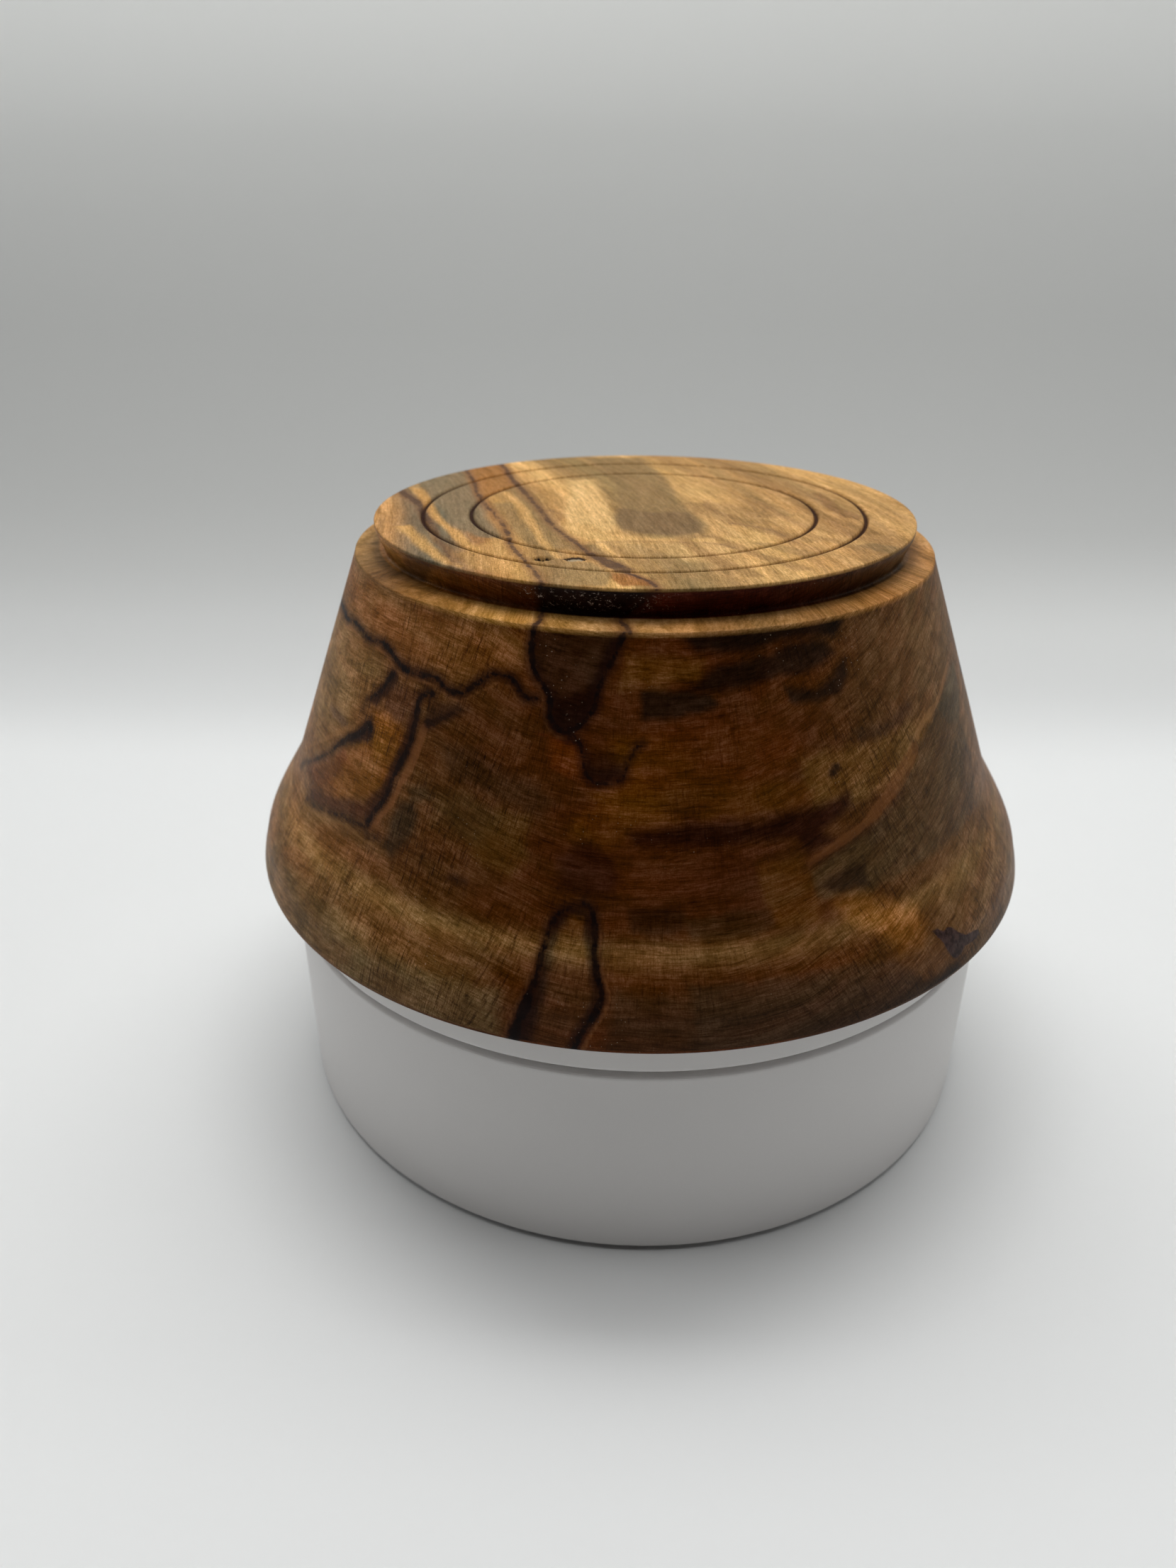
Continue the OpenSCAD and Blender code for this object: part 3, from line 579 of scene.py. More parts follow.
def unroll(degrees, height):
    """Body coordinates to mm on a flat sheet."""
    return np.radians(degrees) * 50.0, height * 1.06


sheet_x, sheet_y = unroll(angle, z)


def body_colours():
    """Base colour round the body, drifting slowly, with the patches laid over it."""
    colours = colour_ramp(angle, as_body, """
        -180,64,38,20 -125,70,44,25 -100,84,55,33 -85,92,63,39 -65,90,62,38 -52,86,58,35
        -40,74,47,27 -26,62,36,17 -10,57,28,9 2,57,27,7 14,55,26,8 26,58,31,12 40,66,42,24
        54,74,51,33 70,80,56,38 85,78,52,34 115,66,40,22 180,64,38,20""")
    wide = fractal_noise(points * (0.055, 0.055, 0.11), 3, 5)
    medium = fractal_noise(points * (0.16, 0.16, 0.42), 3, 9)
    colours *= (1 + 0.30 * wide + 0.30 * medium)[:, None]
    reach = 6
    for k, (settings, outline) in enumerate(BODY_PATCHES.values()):
        soft, strength, *colour = settings
        for turn in (-360, 0, 360):
            edge_x, edge_y = unroll(outline[:, 0] + turn, outline[:, 1])
            near = (is_body & (sheet_x > edge_x.min() - reach) & (sheet_x < edge_x.max() + reach)
                    & (sheet_y > edge_y.min() - reach) & (sheet_y < edge_y.max() + reach))
            distance = polygon_distance(sheet_x[near], sheet_y[near],
                                        np.stack([edge_x, edge_y], 1))
            distance += 1.1 * fractal_noise(points[near] * 0.5, 3, 60 + k)
            weight = smooth(-soft, soft, -distance) * min(0.95, strength * 1.35)
            colours[near] = blend(colours[near], as_body(colour), weight)
    return colours


# the grain of the foot's face runs from upper left to lower right
face_x, face_y = x[is_face], y[is_face]
across = face_x + 0.31 * face_y + 0.0035 * face_y * face_y - 0.9 * np.sin(face_y / 13.0)


def face_colours():
    """Streaks along the grain, with the patches laid over them."""
    place = across + 2.2 * flat_noise(across * 0.12, face_y * 0.03, 21, octaves=2)
    base = colour_ramp(place, as_top, """
        -42,196,148,94 -36,190,144,94 -33,150,120,86 -29,140,118,88 -24,176,130,84 -20,188,144,90
        -16,160,126,84 -12,190,146,94 -8,210,166,110 -4,176,138,90 0,160,128,84 4,176,138,92
        8,196,154,102 13,200,158,104 17,184,142,92 21,196,152,100 25,170,130,84 29,186,144,94
        33,200,156,102 40,198,154,100""")
    medium = flat_noise(across * 0.5, face_y * 0.07, 41)
    fine = flat_noise(across * 1.5, face_y * 0.10, 43)
    coarse = flat_noise(across * 0.22, face_y * 0.035, 47)
    mean = base.mean(axis=0)
    contrast = 1.5
    colours = mean + contrast * (base - mean)
    colours *= (1 + 0.55 * medium + 0.55 * fine + 0.35 * coarse)[:, None]
    for k, (settings, outline) in enumerate(FACE_PATCHES.values()):
        soft, strength, *colour = settings
        distance = polygon_distance(face_x, face_y, outline)
        # edges feather along the grain
        distance += 1.1 * flat_noise(across * 0.9, face_y * 0.12, 120 + k)
        weight = smooth(-soft, soft, -distance) * min(0.95, strength * 1.3)
        colours = blend(colours, as_top(colour), weight)
    return colours


def painted_flare_highlight(colours):
    """Painted highlight to add where the side turns out into the flare."""
    highlight_amount = interpolate(angle, """-180,0.10 -85,0.10 -60,0.55 -38,0.85 -22,1.0 -4,0.80 12,1.0
        27,0.62 45,0.55 65,0.35 90,0.10 180,0.10""")
    highlight_amount *= 1 + 0.35 * flat_noise(sheet_x * 0.22, z * 0.5, 81)
    above = z - 17.0
    low_left = window(angle, -46, -38, -24, -14)
    bell = np.exp(-(above / np.where(above > 0, 1.15, 1.6)) ** 2)
    bell += (0.05 + 0.5 * low_left) * np.exp(-((z - 12.8) / 2.8) ** 2)
    return (bell * highlight_amount)[:, None] * (as_body((66, 56, 40)) + 0.4 * colours)


def wall_colours():
    colours = colour_ramp(angle, as_body, """
        -180,120,84,52 -100,120,86,56 -62,112,76,44 -44,84,52,26 -34,70,38,15 -24,58,30,11
        -10,46,14,6 0,44,12,5 22,43,12,4 42,44,24,12 62,60,42,28 100,120,86,56 180,120,84,52""")
    colours *= (1 + 0.8 * flat_noise(sheet_x * 0.25, z * 0.5, 77))[:, None]
    right_edge = angle - (z - 52) * 1.9
    dark = smooth(-19.5, -17.5, angle) * (1 - smooth(-4.5, -1.0, right_edge)) * 0.9
    colours = blend(colours, as_body((9, 5, 5)), dark)
    brown = window(angle + (MUG_H - z) * 2, -52, -48, -42, -38) * 0.6
    return blend(colours, as_body((30, 18, 11)), brown)


def shoulder_colours():
    colours = colour_ramp(angle, as_top, """
        -180,178,134,84 -95,176,134,86 -72,140,106,66 -56,120,84,52 -46,142,98,56 -30,176,128,74
        -18,180,132,74 -6,160,118,74 8,170,124,78 20,150,110,70 44,160,112,66 62,172,124,78
        95,190,142,92 180,168,124,78""")
    colours *= (1 + 0.5 * flat_noise(sheet_x * 0.3, radius * 0.5, 78))[:, None]
    # painted shadow of the foot: the inner part of the shoulder is darkened, the outer edge
    # lightened
    clear_of_painted_shadow = smooth(SHOULDER_R - 2.9, SHOULDER_R - 1.6, radius)
    return colours * (0.75 + 0.35 * clear_of_painted_shadow)[:, None]


def inside_colours():
    """Darker wood, where lather has soaked in."""
    colours = colour_ramp(angle, as_body,
                          "-180,84,54,32 -90,96,66,42 0,62,34,16 90,90,62,42 180,84,54,32")
    return colours * (1 + 0.7 * fractal_noise(points * (0.07, 0.2, 0.12), 4, 90))[:, None]


def mug_colours():
    """Each zone's colour, with soft changes at the shoulder's corner and under the lip."""
    colours = body_colours()
    colours[is_face] = face_colours()
    # painted highlight: a lighter band along the flare
    colours[is_body] += painted_flare_highlight(colours)[is_body]
    shade = smooth(9.6, 7.4, z) * window(angle, 14, 24, 62, 72) * 0.36
    outside = is_body | (zone == UNDER)
    colours[outside] *= (1 - shade[outside])[:, None]
    colours[zone == WALL] = wall_colours()[zone == WALL]
    on_shoulder = shoulder_colours()
    colours[zone == SHOULDER] = on_shoulder[zone == SHOULDER]
    near = is_body & (z > CORNER[1] - 0.6)
    rise = smooth(CORNER[1] - 0.30, CORNER[1] - 0.12, z)
    colours[near] = blend(colours[near], on_shoulder[near], rise[near])
    soaked = inside_colours()
    colours[zone == INSIDE] = soaked[zone == INSIDE] * 0.9
    under = zone == UNDER
    colours[under] = blend(soaked[under], colours[under], smooth(2.0, 6.0, z[under]))
    return np.clip(colours, 0.002, 0.8)


# ---------------------------------------------------------------- distances to the lines
REACH = 4.0                          # mm, beyond which a line isn't felt
body_profile = np.array(body)[::-1]
# the inside is moved away so that no line shows through to it
outer_points = points.copy()
outer_points[zone == INSIDE] = 999.0


def on_body(degrees, height):
    return polar(degrees, np.interp(height, body_profile[:, 1], body_profile[:, 0]), height)


def on_wall(degrees, height):
    wall_r = np.interp(height, [51.5, 52.5, 55.1], [ROOT[0], ROOT[0] + 0.35, FOOT_R])
    return polar(degrees, wall_r, height)


def on_shoulder(degrees, r):
    part = np.clip((r - ROOT[0]) / (CORNER[0] - ROOT[0]), 0, 1)
    return polar(degrees, r, ROOT[1] + part * (CORNER[1] - ROOT[1]))


def on_face(x, y):
    return np.stack([x, y, face_height(np.hypot(x, y))], -1)


def line_samples(outline, start_width, end_width, to_surface):
    """Points along a smoothed line and its half-width at each, with a small waver."""
    ends = np.vstack([2 * outline[0] - outline[1], outline, 2 * outline[-1] - outline[-2]])
    smoothed = []
    for i in range(1, len(ends) - 2):
        before, here, after, beyond = ends[i - 1:i + 3]
        for t in np.linspace(0, 1, 9)[:-1]:
            smoothed.append(0.5 * (2 * here + (after - before) * t
                                   + (2 * before - 5 * here + 4 * after - beyond) * t * t
                                   + (3 * here - before - 3 * after + beyond) * t ** 3))
    smoothed.append(ends[-2])
    path = to_surface(*np.array(smoothed).T)
    steps = np.linalg.norm(np.diff(path, axis=0), axis=1)
    length = np.concatenate([[0], np.cumsum(steps)])
    at = np.linspace(0, length[-1], max(2, int(length[-1] / 0.22)))
    samples = np.stack([np.interp(at, length, path[:, k]) for k in range(3)], 1)
    widths = start_width + (end_width - start_width) * (at / max(length[-1], 1e-6))
    return samples, widths * (1 + 0.7 * fractal_noise(samples * 0.55, 2, 11))


def line_distance(samples, widths):
    """Distance from each mug point to the line's edge, up to REACH."""
    distance = np.full(len(points), REACH)
    low, high = samples.min(0) - REACH, samples.max(0) + REACH
    near = np.where(np.all((outer_points >= low) & (outer_points <= high), axis=1))[0]
    close = outer_points[near].astype(np.float32)
    best = np.full(len(near), REACH, np.float32)
    samples, widths = samples.astype(np.float32), widths.astype(np.float32)
    for k in range(0, len(samples), 64):
        gap = np.linalg.norm(close[:, None, :] - samples[None, k:k + 64, :], axis=2)
        best = np.minimum(best, (gap - widths[None, k:k + 64]).min(1))
    distance[near] = best
    return distance


def nearest_line(groups, default):
    """Distance to the nearest line, and its settings after the two widths."""
    distance = np.full(len(points), REACH)
    owner = np.zeros(len(points), int)
    values = [default]
    for table, to_surface in groups:
        for settings, outline in table.values():
            to_line = line_distance(*line_samples(outline, *settings[:2], to_surface))
            better = to_line < distance
            distance[better] = to_line[better]
            owner[better] = len(values)
            values.append(settings[2:])
    return distance, np.array(values)[owner]


def knot_distance():
    distance = np.full(len(points), REACH)
    near = is_body & (angle > 30) & (angle < 62) & (z < 20)
    outline = np.stack(unroll(*KNOT.T), 1)
    distance[near] = polygon_distance(sheet_x[near], sheet_y[near], outline)
    return distance


def pit_depth(pit, centre, reach):
    near = is_face & (np.hypot(x - centre[0], y - centre[1]) < reach)
    return np.where(near, pit_field(points, pit), 0)


# ---------------------------------------------------------------- grain coordinates
def grain_coordinates():
    """(round, round, across the growth rings) per point, seamless at the back."""
    slopes = """-180,0 -100,0.02 -80,0.05 -50,0.04 -34,-0.12 -20,-0.30 -9,-0.12 0,0 12,0.06
        24,0.34 45,0.44 64,0.36 85,0 120,-0.2 180,0"""
    turn = np.linspace(-180, 180, 721)
    turn_slope = interpolate(turn, slopes)
    step = math.radians(0.5) * 50
    rise = np.concatenate([[0], np.cumsum((turn_slope[1:] + turn_slope[:-1]) / 2 * step)])
    rise -= np.interp(0, turn, rise)
    rise -= (rise[-1] - rise[0]) * smooth(100, 180, turn)
    skewed = np.radians(angle) + interpolate(angle, slopes) * (z - 30) / 50.0
    height = z - np.interp(angle, turn, rise) + 1.2 * fractal_noise(points * 0.12, 2, 55)
    grain = np.stack([50 * np.sin(skewed), 50 * np.cos(skewed), height], 1)
    face_across = across + 0.8 * fractal_noise(points[is_face] * 0.1, 2, 56)
    grain[is_face] = np.stack([face_y, face_y * 0, face_across], 1)
    hidden = (zone == INSIDE) | (zone == UNDER)
    depth = z + 0.35 * x + 2.0 * fractal_noise(points * 0.06, 2, 57)
    grain[hidden] = np.stack([x, y * 0.3, depth], 1)[hidden]
    return grain


def end_grain():
    """How much end grain shows: the fibres run nearly front to back."""
    turn = np.radians(angle)
    shown = np.abs(0.29 * np.sin(turn) + 0.957 * np.cos(turn))
    return np.where(is_face, 0.0, np.where(zone == SHOULDER, 0.3, shown))


def mug_attributes():
    mesh = mug.data
    line_groups = [(BODY_LINES, on_body), (WALL_LINES, on_wall),
                   (SHOULDER_LINES, on_shoulder), (FACE_LINES, on_face)]
    line_d, line_s = nearest_line(line_groups, [0.0])
    margin_d, margin = nearest_line([(MARGINS, on_body)], [0.0, 105, 66, 40])
    put(mesh, "figure", "FLOAT_COLOR", mug_colours())
    put(mesh, "margin_col", "FLOAT_COLOR", as_body(margin[:, 1:]))
    put(mesh, "grain", "FLOAT_VECTOR", grain_coordinates())
    ray_strength = interpolate(angle, """-180,0.5 -110,0.5 -60,0.8 -40,1.05 -22,1.05 -12,0.5
        20,0.5 32,0.9 60,1.0 110,0.5 180,0.5""")
    torn = window(angle, -24, -20, 3, 9)
    torn *= window(z, MUG_H - 3.6, MUG_H - 2.2, MUG_H - 0.9, MUG_H - 0.5)
    top_edge = (zone == SHOULDER) | (is_body & (z > CORNER[1] - 0.5))
    to_ring = np.minimum(np.abs(radius - OUTER_RING), np.abs(radius - INNER_RING))
    for name, data in (
            ("line_d", line_d), ("line_s", line_s[:, 0]),
            ("marg_d", margin_d), ("marg_s", margin[:, 0]),
            ("knot_d", knot_distance()),
            ("pit_a", pit_depth(PITS[0], centre=(-12, -25.75), reach=3)),
            ("pit_b", pit_depth(PITS[1], centre=(-8.15, -25.5), reach=3.5)),
            ("endg", end_grain()),
            ("ray_k", ray_strength),
            ("torn", np.where(zone == WALL, torn, 0)),
            ("is_face", np.where(is_face, 1.0, np.where(top_edge, 0.7, 0.0))),
            ("groove", np.where(is_face, np.clip(1 - to_ring / 0.68, 0, 1), 0))):
        put(mesh, name, "FLOAT", data)


mug_attributes()


# ---------------------------------------------------------------- shader helpers
class Value:
    """A shader socket; arithmetic on it adds Math nodes."""

    def __init__(self, shader, socket):
        self.shader = shader
        self.socket = socket

    def __add__(self, other):
        return self.shader.math("ADD", self, other)

    def __radd__(self, other):
        return self.shader.math("ADD", other, self)

    def __sub__(self, other):
        return self.shader.math("SUBTRACT", self, other)

    def __rsub__(self, other):
        return self.shader.math("SUBTRACT", other, self)

    def __mul__(self, other):
        return self.shader.math("MULTIPLY", self, other)

    def centred(self, gain):
        """A 0 to 1 noise turned into a swing about 0."""
        return (self - 0.5) * gain

    def scaled(self, factors):
        return self.shader.value("VectorMath", {0: self, 1: factors}, operation="MULTIPLY")

    def split(self):
        node = self.shader.add("SeparateXYZ", {0: self})
        return [Value(self.shader, socket) for socket in node.outputs]

    def noise(self, scale=1.0, detail=3.0, roughness=0.6, distortion=0.0, stretch=None):
        coords = self.scaled(stretch) if stretch else self
        return self.shader.value("TexNoise", {
            "Vector": coords, "Scale": scale, "Detail": detail, "Roughness": roughness,
            "Distortion": distortion}, "Fac")

    def remap(self, start, end, low=0.0, high=1.0, kind="SMOOTHSTEP"):
        return self.shader.value("MapRange", {
            "Value": self, "From Min": start, "From Max": end, "To Min": low, "To Max": high},
            "Result", interpolation_type=kind, clamp=True)


class Shader:
    """A material with a Principled surface, and short calls that add nodes to it."""

    def __init__(self, name):
        self.material = bpy.data.materials.new(name)
        self.material.use_nodes = True
        self.tree = self.material.node_tree
        self.tree.nodes.clear()
        output = self.add("OutputMaterial")
        self.surface = self.add("BsdfPrincipled")
        self.tree.links.new(self.surface.outputs[0], output.inputs[0])
        self.object = self.value("TexCoord", output="Object")
        self.mm = self.object.scaled((1000, 1000, 1000))

    def fill(self, node, inputs):
        for key, value in inputs.items():
            if isinstance(value, Value):
                self.tree.links.new(value.socket, node.inputs[key])
            else:
                node.inputs[key].default_value = value

    def add(self, kind, inputs=None, **settings):
        node = self.tree.nodes.new("ShaderNode" + kind)
        for key, value in settings.items():
            setattr(node, key, value)
        self.fill(node, inputs or {})
        return node

    def value(self, kind, inputs=None, output=0, **settings):
        return Value(self, self.add(kind, inputs, **settings).outputs[output])

    def attribute(self, name, output="Fac"):
        return self.value("Attribute", output=output, attribute_name=name)

    def math(self, operation, first, second):
        return self.value("Math", {0: first, 1: second}, operation=operation)

    def mix(self, factor, first, second, mode="MIX"):
        return self.value("Mix", {0: factor, 6: first, 7: second}, 2,
                          data_type="RGBA", blend_type=mode)

    def tinted(self, amount, colour, tint):
        return self.mix(amount, colour, self.mix(1.0, colour, tint, "MULTIPLY"))

    def bump(self, height, strength, distance):
        return self.value("Bump", {"Strength": strength, "Distance": distance,
                                   "Height": height}, "Normal")

    def finish(self, inputs):
        """Sets the surface's inputs and returns the material."""
        self.fill(self.surface, inputs)
        return self.material


def rgba(colour):
    return (*(float(v) for v in colour), 1.0)


def srgb(red, green, blue):
    return rgba(lin((red, green, blue)))


# ---------------------------------------------------------------- spalted, oiled wood
def wood_material():
    wood = Shader("spalted_wood")
    mm = wood.mm
    base = wood.attribute("figure", "Color")
    grain = wood.attribute("grain", "Vector")
    face = wood.attribute("is_face")
    side = 1.0 - face
    # growth streaks, long along the ring lines
    streak_wide = grain.noise(stretch=(0.07, 0.07, 0.75), detail=4.0, distortion=0.4)
    streak_mid = grain.noise(stretch=(0.22, 0.22, 2.8), detail=4.0, roughness=0.62,
                             distortion=0.2)
    streak_fine = grain.noise(stretch=(0.7, 0.7, 8.5), roughness=0.62)
    # blocks between rays and rings
    blocks = grain.noise(stretch=(0.20, 0.20, 0.34), roughness=0.55, distortion=0.25)
    blocks = blocks.remap(start=0.40, end=0.60, low=-1.0, high=1.0)
    # rays and pores, short and across the rings
    ray_wide = grain.noise(stretch=(2.6, 2.6, 0.22), roughness=0.65, distortion=0.12)
    ray_mid = grain.noise(stretch=(5.2, 5.2, 0.55), roughness=0.65, distortion=0.1)
    ray_fine = grain.noise(stretch=(9.5, 9.5, 1.5), detail=2.0)
    pores_wide = ray_wide.remap(start=0.56, end=0.66)
    pores_fine = ray_mid.remap(start=0.57, end=0.68)
    stipple = mm.noise(scale=5.0, roughness=0.65)
    mottle = mm.noise(scale=1.7)
    # turning marks: rings round the axis, only here and there
    mm_x, mm_y, mm_z = mm.split()
    turned = wood.value("CombineXYZ", {0: mm_x * 0.03, 1: mm_y * 0.03, 2: mm_z * 4.2})
    marks = turned.noise(roughness=0.7)
    marks_mask = mm.noise(scale=0.05, detail=2.0, roughness=0.5).remap(start=0.40, end=0.60)

    streaks = streak_wide.centred(1.2) + (streak_mid.centred(1.7) + streak_fine.centred(1.7))
    rays = ray_wide.centred(-0.9) + (ray_mid.centred(-1.5) + ray_fine.centred(-1.5))
    gain = 1.0 + streaks * (1.0 - face * 0.15)
    # rays stand out in some areas only
    ray_mask = mm.noise(scale=0.075, detail=2.0, roughness=0.5, distortion=0.3)
    ray_mask = ray_mask.remap(start=0.38, end=0.62, low=0.30, high=1.15)
    ray_mask = ray_mask * wood.attribute("ray_k")
    gain = gain * (1.0 + rays * ray_mask * side)
    gain = gain * (1.0 + blocks * side * 0.2)
    gain = gain * (1.0 + (stipple.centred(1.25) + mottle.centred(0.6)))
    gain = gain * ((1.0 + marks.centred(1.0) * marks_mask) * side + face)
    darkest, brightest = 0.28, 2.3
    gain = wood.math("MINIMUM", wood.math("MAXIMUM", gain, darkest), brightest)
    # hue drifts between olive and red-brown
    hue = grain.noise(stretch=(0.10, 0.10, 0.35), roughness=0.55, distortion=0.3)
    red_brown, olive = rgba((1.05, 0.96, 0.79)), rgba((0.97, 1.025, 0.87))
    tint = wood.mix(hue.remap(start=0.35, end=0.65), red_brown, olive)
    base = wood.tinted(side * 0.6 + 0.25, base, tint)
    saturation = gain.remap(start=0.5, end=1.7, low=1.10, high=0.92, kind="LINEAR")
    colour = wood.value("HueSaturation", {"Color": base, "Value": gain,
                                          "Saturation": saturation})
    # pores darken the body
    for pores, amount, tint in ((pores_wide, 0.5, (0.34, 0.27, 0.22)),
                                (pores_fine, 0.75, (0.40, 0.32, 0.26))):
        colour = wood.tinted((pores * side) * (ray_mask * amount), colour, rgba(tint))
    # face: fine dark vessel lines along the grain
    vessels = grain.noise(stretch=(0.55, 0.55, 7.0), detail=2.0)
    vessels = vessels.remap(start=0.58, end=0.72) * face * 0.32
    colour = wood.mix(vessels, colour, srgb(104, 70, 40))
    # pale margins
    waver = mm.noise(scale=1.6).centred(0.35)
    margin = (wood.attribute("marg_d") + waver).remap(start=0.16, end=-0.16)
    margin_colour = wood.mix(0.35, wood.attribute("margin_col", "Color"), colour)
    colour = wood.mix(margin * wood.attribute("marg_s"), colour, margin_colour)
    # black lines, with a brown blush beside them
    line_waver = mm.noise(scale=0.6).centred(0.7)
    line_waver = line_waver + mm.noise(scale=2.4, roughness=0.65).centred(0.42)
    line = wood.attribute("line_d") + (line_waver + 0.09)
    strength = wood.attribute("line_s")
    blush = line.remap(start=1.1, end=-0.1) * strength * 0.72
    colour = wood.mix(blush, colour, wood.mix(face, srgb(38, 17, 10), srgb(118, 78, 48)))
    fading = mm.noise(scale=0.9).remap(start=0.35, end=0.62, low=0.72, high=1.0)
    core = line.remap(start=0.15, end=-0.12) * strength * fading
    colour = wood.mix(core, colour, wood.mix(face, srgb(21, 12, 11), srgb(68, 46, 34)))
    # the dark knot
    knot = (wood.attribute("knot_d") + waver * 0.5).remap(start=0.12, end=-0.12)
    knot_mottle = mm.noise(scale=0.9).remap(start=0.38, end=0.62)
    knot_colour = wood.mix(knot_mottle, srgb(34, 20, 20), srgb(72, 52, 50))
    colour = wood.mix(knot * 0.93, colour, knot_colour)
    # painted shade in the grooves, with the dust and oil they collect
    groove_dust_and_shade = wood.attribute("groove").remap(start=0.30, end=0.85) * 0.8
    colour = wood.tinted(groove_dust_and_shade, colour, rgba((0.42, 0.32, 0.25)))
    groove_core_dust_and_shade = wood.attribute("groove").remap(start=0.45, end=0.8) * 0.92
    colour = wood.mix(groove_core_dust_and_shade, colour, srgb(46, 20, 10))
    # torn, dusty fibres under the foot's edge
    torn = wood.object.noise(stretch=(1500, 1500, 2600), detail=4.0, roughness=0.7,
                             distortion=1.2)
    torn = torn.remap(start=0.585, end=0.66) * wood.attribute("torn")
    colour = wood.mix(torn, colour, srgb(176, 160, 148))
    # voids; the deeper one is coloured near black, painted shade inside the hole
    deep_pit_painted_shade = wood.attribute("pit_a").remap(start=0.08, end=0.5)
    colour = wood.mix(deep_pit_painted_shade, colour, srgb(26, 15, 9))
    pit = wood.attribute("pit_b")
    colour = wood.mix(pit.remap(start=0.1, end=0.4), colour, srgb(60, 42, 27))
    colour = wood.mix(pit.remap(start=0.55, end=0.9), colour, srgb(172, 154, 124))
    # pale flecks: sanding dust caught in open pores, in loose groups
    cells = wood.value("TexVoronoi", {"Vector": mm, "Scale": 1.5}, "Distance")
    groups = mm.noise(scale=0.11, detail=2.0, roughness=0.5).remap(start=0.56, end=0.70)
    flecks = cells.remap(start=0.13, end=0.07) * groups * (1.0 - face)
    colour = wood.mix(flecks * 0.5, colour, srgb(190, 168, 148))
    # satin oil finish, duller on the face and glossier in the pale void
    roughness = 0.40 + mottle.centred(0.25) + face * 0.12
    roughness = roughness - pit.remap(start=0.6, end=0.95) * 0.3
    height = streak_fine * 0.35 - pores_fine * 0.5 + stipple * 0.5
    height = height + marks * marks_mask * 0.5 - vessels * 1.0
    return wood.finish({
        "Base Color": colour, "Roughness": roughness, "IOR": 1.46, "Specular IOR Level": 0.06,
        "Normal": wood.bump(height, strength=0.35, distance=0.00012)})


mug.data.materials.append(wood_material())
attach(mug, "mug")
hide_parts("mug_body")


# ---------------------------------------------------------------- stand materials
def plastic_material(name, colour, roughness=0.42, speck=0.04):
    shader = Shader(name)
    broad = shader.mm.noise(scale=0.035, roughness=0.5)
    fine = shader.mm.noise(scale=6.0, detail=2.0)
    gain = 1.0 + (broad.centred(0.05) + fine.centred(speck))
    return shader.finish({
        "Base Color": shader.value("HueSaturation", {"Color": rgba(colour), "Value": gain}),
        "Roughness": roughness + broad.centred(0.12),
        "Specular IOR Level": 0.4,
        "Normal": shader.bump(fine, strength=0.12, distance=0.00005)})


def metal_material(name, colour, roughness, stretch=(3.0, 3.0, 3.0)):
    shader = Shader(name)
    marks = shader.mm.noise(scale=2.0, stretch=stretch)
    dark, bright = rgba(np.array(colour) * 0.82), rgba(np.array(colour) * 1.08)
    return shader.finish({
        "Base Color": shader.mix(marks, dark, bright),
        "Metallic": 1.0,
        "Roughness": roughness + marks.centred(0.2),
        "Normal": shader.bump(marks, strength=0.1, distance=0.00003)})


def rubber_material():
    shader = Shader("foot_rubber")
    grit = shader.mm.noise(scale=3.0, detail=4.0)
    dark, bright = rgba((0.018, 0.018, 0.019)), rgba((0.045, 0.045, 0.047))
    return shader.finish({
        "Base Color": shader.mix(grit, dark, bright),
        "Roughness": 0.8,
        "Normal": shader.bump(grit, strength=0.3, distance=0.0001)})


WHITE = plastic_material("white_plastic", (0.765, 0.745, 0.73))
STEEL = metal_material("bearing_steel", (0.56, 0.57, 0.59), roughness=0.28,
                       stretch=(0.4, 0.4, 6.0))
ZINC = metal_material("zinc_steel", (0.50, 0.51, 0.53), roughness=0.38)
CHROME = metal_material("ball_chrome", (0.72, 0.73, 0.75), roughness=0.08)
NYLON = plastic_material("natural_nylon", (0.70, 0.66, 0.52), roughness=0.5, speck=0.08)
BRONZE = metal_material("bush_bronze", (0.50, 0.33, 0.15), roughness=0.45)
RUBBER = rubber_material()


